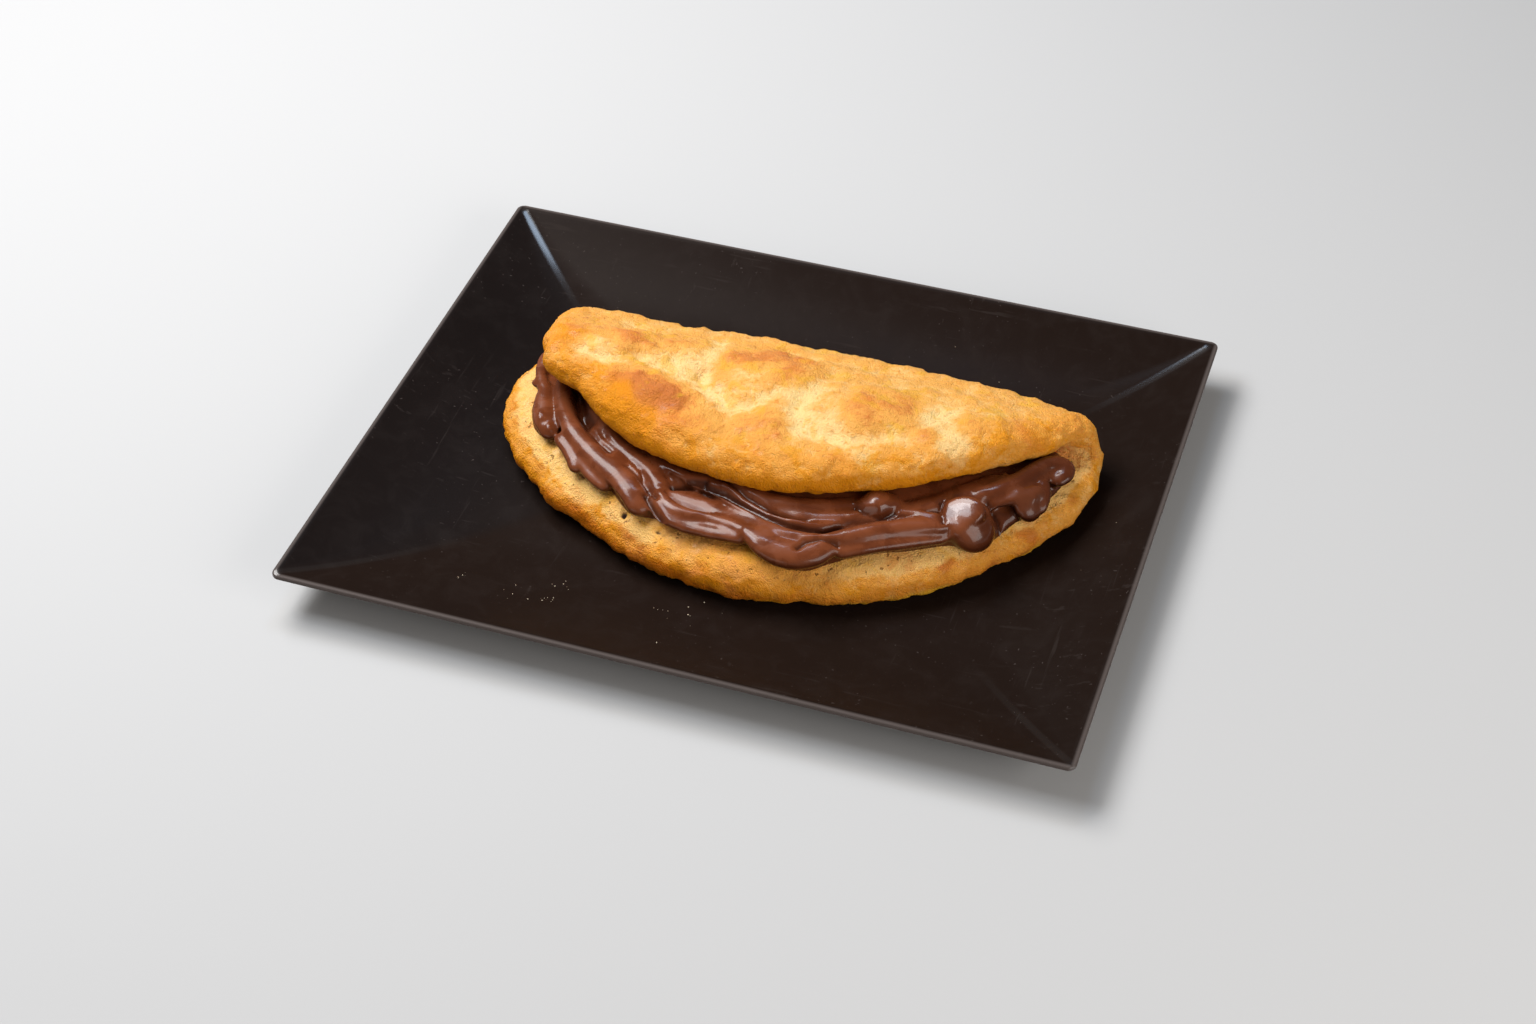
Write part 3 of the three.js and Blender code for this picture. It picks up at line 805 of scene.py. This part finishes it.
# under the upper flap the spread stays a little below it, and in front it falls towards its own front
def fillingTop(x, y):
    rim = flapFront(x, -1)
    out = np.clip((rim - y) / (rim - fillingFront(x)), 0, 1)
    full = upperUnderside(x, rim) - lowerTop(x, rim)
    height = np.maximum(full * (filling["fullness"] - filling["frontDrop"] * out), filling["thinnest"])
    fade = smooth(1 - (y - rim) / filling["rimGapLength"])
    under = upperUnderside(x, y) - filling["topGap"] - filling["rimGap"] * fade
    return np.where(y >= rim, under, lowerTop(x, y) + height)


def fillingBody():
    def fromEnd(x):
        return np.minimum(x - filling["left"], filling["right"] - x)

    def pole(x):
        y = np.array([float(filling["endY"])])
        return (x, y[0], lowerTop(np.array([float(x)]), y)[0] + filling["thinnest"])

    places = spacing(filling["columns"], filling["left"], filling["right"],
                     lambda x: 1 + 3 * np.exp(-fromEnd(x) / 5))
    q = spacing(filling["rows"], -1, 1, lambda t: 1 + 2 * np.exp((np.abs(t) - 1) / 0.06))
    loops = []
    for place in places[1:-1]:
        across = np.full_like(q, place)
        bulk = rounded(fromEnd(place), filling["endRound"])
        front = fillingFront(across[:1])[0]
        back = bendAt(place) - filling["backGap"]
        middle = filling["endY"] * (1 - bulk) + (front + back) / 2 * bulk
        half = (back - front) / 2 * bulk
        y = middle - half * q
        low = lowerTop(across, y) - filling["sink"]
        high = fillingTop(across, y)
        level = low + filling["widest"] * (high - low)
        fullness = bulk * rounded(half * (1 - np.abs(q)), filling["edgeRound"])
        over = np.stack([across, y, level + (high - level) * fullness], axis=1)[::-1]
        under = np.stack([across, y, level + (low - level) * fullness], axis=1)[1:-1]
        loops.append(np.concatenate([over, under]))
    return closedMesh("chocolate_body", pole(filling["left"]), loops, pole(filling["right"]))


# each stroke: x, y, height of its middle above the lower flap, half width
strokes = {
    "left beads": [(-72, 18, 5, 1.8), (-73.4, 14.5, 4.6, 2.2), (-73.2, 10, 4.2, 2), (-72.5, 7, 4, 1.8)],
    "small bead": [(-74.4, 15.5, 4.6, 1.1), (-74.6, 14.2, 4.2, 1.1)],
    "bead chain": [(-73, 7, 5.2, 1.3), (-71.2, 3.5, 5, 1.6), (-69.2, 0.5, 5, 1.8)],
    "dark bead": [(-73, 2.2, 4.6, 1), (-72, 1.2, 4.6, 1)],
    "left blob": [(-68, -1, 4.8, 2), (-66.4, -6.5, 4.6, 2.7), (-64, -11.5, 4, 3.1),
        (-60.8, -15.5, 2.8, 2.6)],
    "blob's bead": [(-65, -12, 6.2, 1.1), (-64.2, -13.2, 6, 1.1)],
    "lower bead": [(-61.2, -15.4, 5, 0.8), (-60.4, -16.2, 4.8, 0.8)],
    "main ribbon": [(-64, 3, 6.2, 2), (-60, -6, 5.8, 2.3), (-54.5, -14, 5.4, 2.7), (-47.5, -20, 5.2, 3.1),
        (-40.5, -25, 5, 3.4), (-34, -29, 4.6, 3.5), (-28.5, -33.5, 4, 3.4), (-25, -37, 3.2, 3.1)],
    "first drip": [(-56, -18.5, 3.6, 2), (-51.5, -22.5, 3.8, 2.1), (-48, -26.5, 3.2, 2.2)],
    "second drip": [(-47, -25, 3.8, 2), (-42.5, -28.5, 3.4, 2.3), (-37.5, -31.5, 2.8, 2.2)],
    "inner strand": [(-46, -9.5, 8, 1.4), (-40, -16, 8, 1.7), (-34, -19.8, 7.6, 1.9), (-29, -22.5, 7.2, 2),
        (-24.5, -25.5, 6.4, 2.3), (-21.5, -29, 5.4, 2.4)],
    "second strand": [(-47.5, -14.5, 6.2, 1.5), (-43, -19, 6.2, 1.8), (-37, -23.2, 6, 2),
        (-29.5, -29, 5.6, 2)],
    "folded ribbon": [(-27, -20, 8.4, 1.2), (-20.5, -22.4, 8.4, 1.5), (-14.5, -24.2, 8.2, 1.5),
        (-8.5, -25, 8, 1.5), (-3, -27.4, 7.8, 1.5), (3, -30.8, 7.6, 1.6), (10, -33.3, 7.4, 1.6),
        (16, -34.2, 7.2, 1.6), (22.5, -33.5, 6.8, 1.6), (27, -32, 6.4, 1.5), (30.5, -29.8, 6.2, 1.4),
        (33, -26.5, 6.2, 1.2)],
    "lip bed": [(-14, -22, 7.4, 1.8), (-6, -24.5, 7.2, 2.4), (3, -27, 7, 2.8), (11, -29.5, 6.8, 2.6)],
    "lip band": [(-3.5, -24, 8.8, 1.5), (3.5, -25.4, 8.8, 1.9), (10.5, -26, 8.6, 2), (17.5, -25.7, 8.6, 2),
        (24.5, -24, 8.4, 2), (31, -21, 8.2, 1.8), (38, -17.5, 8, 1.6)],
    "hollow": [(-17.5, -29.5, 3.8, 2.8), (-11.5, -30.5, 3.8, 3.2), (-4.5, -32, 3.8, 3.4),
        (2.5, -34.3, 4, 3.2), (11, -37, 4.2, 3.4), (18.5, -37.5, 4.6, 3.4), (25.5, -36, 5, 3)],
    "band's ridge": [(-20, -33, 5.4, 1.5), (-15, -36.6, 5.2, 1.8), (-9.5, -37.6, 5.1, 1.5),
        (-4, -37.2, 5, 1.4), (2, -38, 4.9, 1.4), (8.5, -40, 4.8, 1.7)],
    "lower band": [(-20.5, -35.5, 4, 2.4), (-15.5, -38.8, 3.4, 2.5), (-9.5, -40.2, 3, 2.4),
        (-3.5, -40.8, 2.8, 2.3), (2, -41, 2.8, 2.2), (8, -40.8, 3, 2.4)],
    "front lobe": [(9.5, -40.5, 4.8, 2.4), (13.5, -42, 4.4, 3.6), (18.5, -42.7, 4, 4.4),
        (23.5, -42, 3.8, 4.5), (28, -39.8, 3.8, 4.2), (31.5, -36.5, 4, 3.3)],
    "lobe's crest": [(25, -38.2, 6, 1.5), (29.5, -37.2, 6.2, 1.7), (33, -35, 6.2, 1.7)],
    "rolled strand": [(33, -35, 5.4, 2.2), (38, -32, 5.4, 2.6), (43, -29, 5.4, 2.7), (48, -25.8, 5.4, 2.7),
        (53, -23, 5.4, 2.6), (58.5, -20.5, 5.2, 2.5)],
    "strand's ridge": [(32.5, -35, 6.2, 1.6), (38, -32, 6.3, 1.8), (43, -29, 6.3, 1.8),
        (47.5, -26, 6.3, 1.8), (52, -23.8, 6.2, 1.8), (57.5, -21.6, 6, 1.6)],
    "lower face": [(35.5, -36, 3, 2.8), (41, -33, 3, 2.8), (47.5, -29.1, 3, 2.8), (53.5, -25.4, 3, 2.6),
        (59, -22.3, 3, 2.4)],
    "middle band": [(14.5, -29, 6.8, 2), (21, -28.5, 6.8, 2.3), (28, -27, 6.8, 2.3), (35.5, -24, 6.6, 2.4),
        (42, -21, 6.6, 2.5), (48, -17.5, 6.6, 2.6), (54, -13.5, 6.6, 2.7), (59, -9, 6.6, 2.7),
        (64, -4.5, 6.6, 2.6), (68.5, 0, 6.6, 2.4)],
    "bubble": [(36.8, -21.2, 8.6, 2.8), (40, -19.4, 9.6, 3.8), (43.4, -17.4, 8.8, 2.8)],
    "knob": [(34.2, -25.4, 7.6, 1.1), (35.8, -24.2, 7.6, 1.1)],
    "small ridge": [(44, -21.4, 7.4, 0.8), (48, -19.6, 7.4, 0.9), (52, -19, 7.2, 0.9),
        (56.5, -18.8, 6.8, 1), (60, -17, 6.4, 1)],
    "big drop": [(60.5, -13, 5, 3.6), (63.4, -14.8, 4.6, 5.3), (65.8, -16, 4, 6.4),
        (66.6, -16.4, 3.6, 6.3)],
    "right band": [(66, -6, 6.4, 2.6), (71, -3, 6.4, 2.6), (75, 2, 6.2, 2.6), (78.5, 8, 6.2, 2.4),
        (81, 12, 6.2, 2)],
    "thread": [(71, 3.5, 7.8, 0.6), (70.6, 0, 7.8, 0.7), (71, -3.5, 7.4, 0.7)],
    "right shoulder": [(70, -8, 5, 1.4), (73.5, -6, 5.4, 1.8), (77, -3.5, 5.6, 2.2), (80.5, 0, 5.6, 2.3)],
    "right lobe": [(77.4, -3.4, 4.8, 3.2), (79.8, -4.6, 4, 3.5)],
    "right drop": [(82, 3.6, 5.2, 1.7), (83, 0.6, 4.8, 1.9), (82.6, -2.4, 4, 2.2)],
    "right bed": [(76, 3, 4.6, 2.4), (80, 6.5, 4.4, 2.4), (83.5, 10.5, 4, 2)],
    "far strand": [(80, 10, 6, 1.9), (83, 13, 5.8, 2.2), (85.8, 12.8, 5, 2.5), (86.3, 10.4, 4.4, 2.6),
        (85.2, 8.6, 4, 2.4)],
}
# flats that the knife left, tipped towards the front left: x, y, height, half length, half width
flats = {"big drop": (64, -15.6, 9.2, 6.6, 5), "lobe": (12.6, -40, 6.2, 3.4, 2.2),
         "lobe's middle": (21.5, -41, 6, 3.6, 1.8), "ribbon's end": (-26.6, -34.6, 5.6, 2.6, 2),
         "ribbon": (-38, -26, 7, 3.6, 2.2), "band's start": (-16.6, -37.4, 5.6, 3, 2),
         "bed": (-8, -31.6, 6, 3.2, 2), "drip": (-50, -23.6, 5.2, 2.4, 1.7),
         "drip's end": (-42.4, -28, 4.8, 2, 1.6), "bubble's left": (37.8, -21.8, 9.8, 1.8, 1.2),
         "bubble's right": (42.6, -18, 10.2, 2, 1.3), "blob": (-66, -7, 6.4, 2, 1.6),
         "right lobe": (78.8, -3, 6.6, 3.2, 2.2)}
flatShape = {"facing": (-0.2, -0.42, 0.88), "thinnest": 0.9, "thicker": 0.22, "sides": 16, "rings": 9,
             "squareness": 0.5}
strokeShape = {"sides": 14, "steps": 7, "flatness": 0.62, "widen": 1.2, "capSteps": 4}


# a tube with rounded ends along a stroke, a little flatter than it is wide
def strokeMesh(name, points):
    points = np.array(points, float)
    ends = np.concatenate([2 * points[:1] - points[1:2], points, 2 * points[-1:] - points[-2:-1]])
    t = np.linspace(0, 1, strokeShape["steps"], endpoint=False)[:, None]
    path = [catmullRom(*ends[k:k + 4], t) for k in range(len(points) - 1)]
    path = np.concatenate(path + [points[-1:]])
    path[:, 2] += lowerTop(path[:, 0], path[:, 1])
    middle, half = path[:, :3], path[:, 3] * strokeShape["widen"]
    ahead = np.gradient(middle, axis=0)
    ahead /= np.linalg.norm(ahead, axis=1)[:, None]
    turns = (np.arange(strokeShape["capSteps"]) + 1) / (strokeShape["capSteps"] + 1) * math.pi / 2

    def cap(end, way, angles):
        beyond = way * ahead[end] * half[end]
        return [(middle[end] + beyond * math.cos(a), half[end] * math.sin(a), ahead[end]) for a in angles]

    rings = cap(0, -1, turns) + list(zip(middle, half, ahead)) + cap(-1, 1, turns[::-1])
    angle = np.linspace(0, 2 * math.pi, strokeShape["sides"], endpoint=False)
    loops = []
    for centre, width, forward in rings:
        side = np.cross(forward, (0, 0, 1))
        side /= np.linalg.norm(side)
        up = np.cross(side, forward)
        flat = strokeShape["flatness"] * np.outer(np.sin(angle), up)
        loops.append(centre + width * (np.outer(np.cos(angle), side) + flat))
    first = middle[0] - ahead[0] * half[0]
    last = middle[-1] + ahead[-1] * half[-1]
    return closedMesh(name, first, loops, last)


# a low lump like a lentil, its flat side facing the same way as all the others
def flatMesh(name, x, y, height, halfLength, halfWidth):
    up = np.array(flatShape["facing"])
    up /= np.linalg.norm(up)
    along = np.cross((0, -1, 0), up)
    along /= np.linalg.norm(along)
    back = np.cross(up, along)
    thickness = flatShape["thinnest"] + flatShape["thicker"] * halfWidth
    centre = np.array([x, y, lowerTop(np.array([float(x)]), np.array([float(y)]))[0] + height - thickness])
    angle = np.linspace(0, 2 * math.pi, flatShape["sides"], endpoint=False)[:, None]
    polar = math.pi * (np.arange(flatShape["rings"]) + 1) / (flatShape["rings"] + 1)
    out = np.sin(polar) ** flatShape["squareness"]
    level = -np.sign(np.cos(polar)) * np.abs(np.cos(polar)) ** flatShape["squareness"] * thickness
    ellipse = halfLength * np.cos(angle) * along + halfWidth * np.sin(angle) * back
    loops = [centre + o * ellipse + h * up for o, h in zip(out, level)]
    return closedMesh(name, centre - thickness * up, [loop[::-1] for loop in loops], centre + thickness * up)


def joinMeshes(name, meshes):
    points = []
    faces = []
    for mesh in meshes:
        start = len(points)
        points += [tuple(vertex.co) for vertex in mesh.vertices]
        faces += [tuple(start + k for k in polygon.vertices) for polygon in mesh.polygons]
        bpy.data.meshes.remove(mesh)
    joined = bpy.data.meshes.new(name)
    joined.from_pydata(points, [], faces)
    return joined


# creases between the strokes, darkened in the material with painted shade: depth, half width and line
grooves = [
    (2.2, 1, [(-18, -28), (-13.5, -26), (-9.5, -25)]),
    (2.3, 1.1, [(-9.5, -26), (-2, -28), (4.5, -31), (12, -33.8), (19, -35), (25, -34.8), (29, -33.6),
        (32.5, -30.5)]),
    (1.2, 0.8, [(-4, -23), (4, -27.5), (12, -30.6), (18, -31.6)]),
    (1.2, 0.8, [(24, -42.5), (25.5, -39.6), (29.5, -37.6), (34, -37.4)]),
    (1.6, 0.9, [(-23.5, -35), (-19.5, -39), (-16, -42)]),
    (2.2, 1.8, [(-60, 4), (-57, -2), (-53.5, -7.5), (-50, -11)]),
    (1, 0.9, [(-50, -13.5), (-44.5, -18.5), (-39.5, -21.8)]),
    (1, 0.9, [(-32.5, -26), (-25, -31), (-20.5, -35)]),
    (1.2, 0.8, [(34.5, -22.5), (37.5, -23.8), (42, -23.5), (45.5, -21)]),
    (1.0, 0.8, [(57, -13.5), (58, -17.5), (59.5, -20.5)]),
    (1.4, 0.9, [(69, -8.5), (72.5, -10.5), (74, -13)]),
]


# the shiniest places: x, y, strength, radius
glossy = [(64, -15, 1, 7), (40, -20, 1, 5), (80, -3, 0.6, 4), (-66, -8, 0.5, 4), (-47, -26, 0.5, 3),
          (14, -41, 0.4, 4), (-16, -37, 0.4, 4), (22, -26, 0.4, 6), (84, 9, 0.4, 3)]


# presses the creases into the spread's upper side, and notes how deep they are
def pressGrooves(mesh):
    points = np.empty(len(mesh.vertices) * 3, np.float32)
    mesh.vertices.foreach_get("co", points)
    normals = np.empty_like(points)
    mesh.vertices.foreach_get("normal", normals)
    points, normals = points.reshape(-1, 3), normals.reshape(-1, 3)
    x, y = points[:, 0] / mm, points[:, 1] / mm
    up = np.clip(normals[:, 2] + 0.3, 0, 1)
    depth = up * creasesAt(grooves, x, y)
    points[:, 2] -= np.minimum(depth, filling["deepestGroove"]) * mm
    mesh.vertices.foreach_set("co", points.ravel())
    mesh.update()
    setValues(mesh, "groove", depth)
    setValues(mesh, "gloss", bellsAt(glossy, x, y))
    setValues(mesh, "relief", np.ones_like(x))


spreadRipple = {"Ripple Size": 7.5, "Ripple Height": 0.2, "Streak Size": 2.6, "Streak Height": 0.06,
                "Seed": 5.0}
spreadPatterns = [("Ripple", 1.0, (1, 1, 1)), ("Streak", 1.0, (0.3, 1, 1))]
# the deep brown is painted shade, laid in the grooves, on the overhanging sides and under the fold at the
# right
spreadLook = {"colour": rgb(120, 63, 35), "dark": rgb(98, 48, 25), "deep": rgb(44, 16, 6),
              "grooveShadeShare": 0.7, "sideShadeShare": 0.55, "rightShare": 0.5, "cloudSize": 7, "fineSize": 1.2,
              "roughness": 0.2, "shine": 0.24, "coat": 0.14, "coatGloss": 0.34, "coatRoughness": 0.07,
              "bump": 0.35, "bumpDepth": 0.3}


def chocolateMaterial():
    material, graph, shader, place = newMaterial("chocolate_spread")
    look, step = spreadLook, graph.step
    cloud = graph.noise(place, look["cloudSize"], 3, 0.55, 0.5)
    fine = graph.noise(place, look["fineSize"], 3, 0.6)
    groove = step(graph.attribute("groove"), 0.3, 1.4)
    # painted shade: its overhanging sides, and the stretch that runs in under the fold at the right, are
    # darker
    shaded = step(graph.upward(), 0.5, -0.1) * look["sideShadeShare"]
    shaded = shaded + step(graph.part(place, "X"), 62 * mm, 80 * mm) * look["rightShare"]
    colour = graph.coats(look["dark"], [
        (step(cloud, 0.35, 0.65), look["colour"]),
        # painted shade in the grooves
        (groove * look["grooveShadeShare"], look["deep"]),
        (shaded, look["deep"]),
    ])
    graph.feed(shader, {
        "Base Color": colour, "Roughness": look["roughness"] + 0.12 * step(cloud, 0.4, 0.65) + 0.05 * fine,
        "Normal": graph.bump(0.6 * cloud + 0.4 * fine, look["bumpDepth"], look["bump"]),
        "IOR": 1.46, "Specular IOR Level": look["shine"],
        "Coat Weight": look["coat"] + look["coatGloss"] * graph.attribute("gloss"),
        "Coat Roughness": look["coatRoughness"],
    })
    return material


def makeFilling():
    meshes = [fillingBody()] + [strokeMesh(name, points) for name, points in strokes.items()]
    meshes += [flatMesh(name, *numbers) for name, numbers in flats.items()]
    piece = newPiece("filling_chocolate", joinMeshes("filling_chocolate", meshes))
    remesh = piece.modifiers.new("union", "REMESH")
    remesh.mode = "VOXEL"
    remesh.voxel_size = filling["voxel"] * mm
    soften = piece.modifiers.new("soften", "SMOOTH")
    soften.iterations = filling["smoothing"]
    soften.factor = filling["smoothFactor"]
    applyModifiers(piece)
    pressGrooves(piece.data)
    tree = reliefTree("spread ripple", spreadRipple, spreadPatterns)
    addTree(piece, tree, spreadRipple, chocolateMaterial())
    applyModifiers(piece)
    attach(piece, "root")
    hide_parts("filling")
    return piece


fillingChocolate = makeFilling()
print("filling:", len(fillingChocolate.data.polygons), "faces")


# crumbs and crust dust on the plate
crumbHeaps = [(-68, -66, 3, 6), (-40, -67, 2.5, 8), (-40, -59, 4, 5), (-10, -60, 4, 5), (-2, -61, 5, 4),
              (-52, -67, 8, 5), (102, 7, 2, 1), (99, -11, 2, 1), (40, 55, 22, 5), (-70, 45, 22, 5),
              (0, -70, 60, 10)]  # x, y, spread and how many
crumbSizes = {"Smallest": 0.05, "Largest": 0.2, "Seed": 7}
crumbShape = {"lumps": 900.0, "lumpHeight": 1.6, "alongReach": 108, "acrossReach": 83, "frontClear": 1,
              "backClear": 3, "endClear": 1.02}
crumbLook = {"dusk": rgb(120, 96, 74), "light": rgb(206, 190, 164), "toneSize": 1.5, "roughness": 0.6}


def crumbTree():
    kinds = {"Smallest": "NodeSocketFloat", "Largest": "NodeSocketFloat", "Seed": "NodeSocketInt"}
    tree, graph, given = newTree("crumb scatter", kinds)
    ball = graph.add("GeometryNodeMeshIcoSphere", {}, {"Radius": 1 * mm, "Subdivisions": 2}, "Mesh")
    place = graph.add("GeometryNodeInputPosition")
    wave = graph.add("ShaderNodeTexNoise", {}, {"Vector": place, "Scale": crumbShape["lumps"]}, 1)
    shift = graph.add("ShaderNodeVectorMath", {"operation": "SUBTRACT"}, {0: wave, 1: (0.5, 0.5, 0.5)})
    scaled = {0: shift, "Scale": crumbShape["lumpHeight"] * mm}
    shift = graph.add("ShaderNodeVectorMath", {"operation": "SCALE"}, scaled)
    rough = graph.add("GeometryNodeSetPosition", {}, {"Geometry": ball, "Offset": shift})
    turn = graph.add("FunctionNodeRandomValue", {"data_type": "FLOAT_VECTOR"},
                     {0: (0, 0, 0), 1: (6.3, 6.3, 6.3), "Seed": given["Seed"]})
    size = graph.add("FunctionNodeRandomValue", {"data_type": "FLOAT"},
                     {2: given["Smallest"], 3: given["Largest"], "Seed": given["Seed"]}, 1)
    placed = graph.add("GeometryNodeInstanceOnPoints", {},
                       {"Points": given["Geometry"], "Instance": rough, "Rotation": turn, "Scale": size})
    finishTree(graph, placed, given["Material"])
    return tree


def crumbMaterial():
    material, graph, shader, place = newMaterial("crust_crumb")
    tone = graph.noise(place, crumbLook["toneSize"], 2, 0.5)
    colour = graph.coats(crumbLook["dusk"], [(graph.step(tone, 0.4, 0.6), crumbLook["light"])])
    graph.feed(shader, {"Base Color": colour, "Roughness": crumbLook["roughness"] + 0.2 * tone})
    return material


def makeCrumbs():
    draw = np.random.default_rng(crumbSizes["Seed"])
    places = []
    for x, y, spread, count in crumbHeaps:
        places.append(np.array([x, y]) + draw.normal(0, spread / 2, (count, 2)))
    x, y = np.concatenate(places).T
    onPlate = (np.abs(x) < crumbShape["alongReach"]) & (np.abs(y) < crumbShape["acrossReach"])
    # clear of the bread: in front of the lower flap, behind the fold or past the ends
    inFront = y < flapFront(x, 1) - crumbShape["frontClear"]
    behind = y > dough["foldBack"] + crumbShape["backClear"]
    pastEnds = rimShare(x, np.zeros_like(x)) > crumbShape["endClear"]
    away = inFront | behind | pastEnds
    x, y = x[onPlate & away], y[onPlate & away]
    z = floorTop + plateRise(x, y) + crumbSizes["Smallest"]
    mesh = bpy.data.meshes.new("plate_crumbs")
    mesh.from_pydata((np.stack([x, y, z], axis=1) * mm).tolist(), [], [])
    piece = newPiece("plate_crumbs", mesh)
    addTree(piece, crumbTree(), crumbSizes, crumbMaterial())
    applyModifiers(piece)
    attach(piece, "root")
    return piece


plateCrumbs = makeCrumbs()
print("crumbs:", len(plateCrumbs.data.polygons), "faces")


# floor and light
stageLook = {"floorSize": 6000, "floorGap": 0.3, "floorColour": (0.52, 0.515, 0.51, 1),
             "floorRoughness": 0.9, "worldColour": (1.0, 0.98, 0.96, 1), "worldStrength": 0.11}
lights = [
    # name, place, what it looks at, sides, watts, colour
    ("key", (-470, 270, 760), (0, 0, 10), (460, 460), 8.8, (1.0, 0.985, 0.97)),
    ("side", (-520, -70, 800), (0, 0, 10), (310, 310), 3.7, (0.89, 0.94, 1.0)),
    ("fill", (660, -330, 330), (0, 0, 10), (600, 400), 3.5, (1.0, 0.97, 0.94)),
    ("low front", (-260, -800, 190), (0, 0, 10), (700, 200), 0.7, (1.0, 0.96, 0.92)),
    ("corner", (-135, 430, 815), (-100, 76, 11), (150, 150), 0.9, (0.6, 0.77, 1.0)),
]


def makeStage():
    half = stageLook["floorSize"] / 2 * mm
    under = -stageLook["floorGap"] * mm
    mesh = bpy.data.meshes.new("floor")
    corners = [(x * half, y * half, under) for x, y in ((-1, -1), (1, -1), (1, 1), (-1, 1))]
    mesh.from_pydata(corners, [], [(0, 1, 2, 3)])
    floor = newPiece("floor", mesh)
    material, graph, shader = newMaterial("floor_paint")[:3]
    graph.feed(shader, {"Base Color": stageLook["floorColour"], "Roughness": stageLook["floorRoughness"]})
    mesh.materials.append(material)
    world = bpy.data.worlds.new("studio")
    world.use_nodes = True
    background = world.node_tree.nodes["Background"]
    background.inputs["Color"].default_value = stageLook["worldColour"]
    background.inputs["Strength"].default_value = stageLook["worldStrength"]
    scene.world = world
    for name, place, target, size, watts, colour in lights:
        data = bpy.data.lights.new(name, "AREA")
        data.shape = "RECTANGLE"
        data.size, data.size_y = size[0] * mm, size[1] * mm
        data.energy = watts
        data.color = colour
        lamp = bpy.data.objects.new(name, data)
        lamp.location = Vector(place) * mm
        lamp.rotation_euler = (Vector(target) - Vector(place)).to_track_quat("-Z", "Y").to_euler()
        scene.collection.objects.link(lamp)
    scene.view_settings.view_transform = "Standard"
    scene.view_settings.look = "None"


makeStage()
print("stage set")
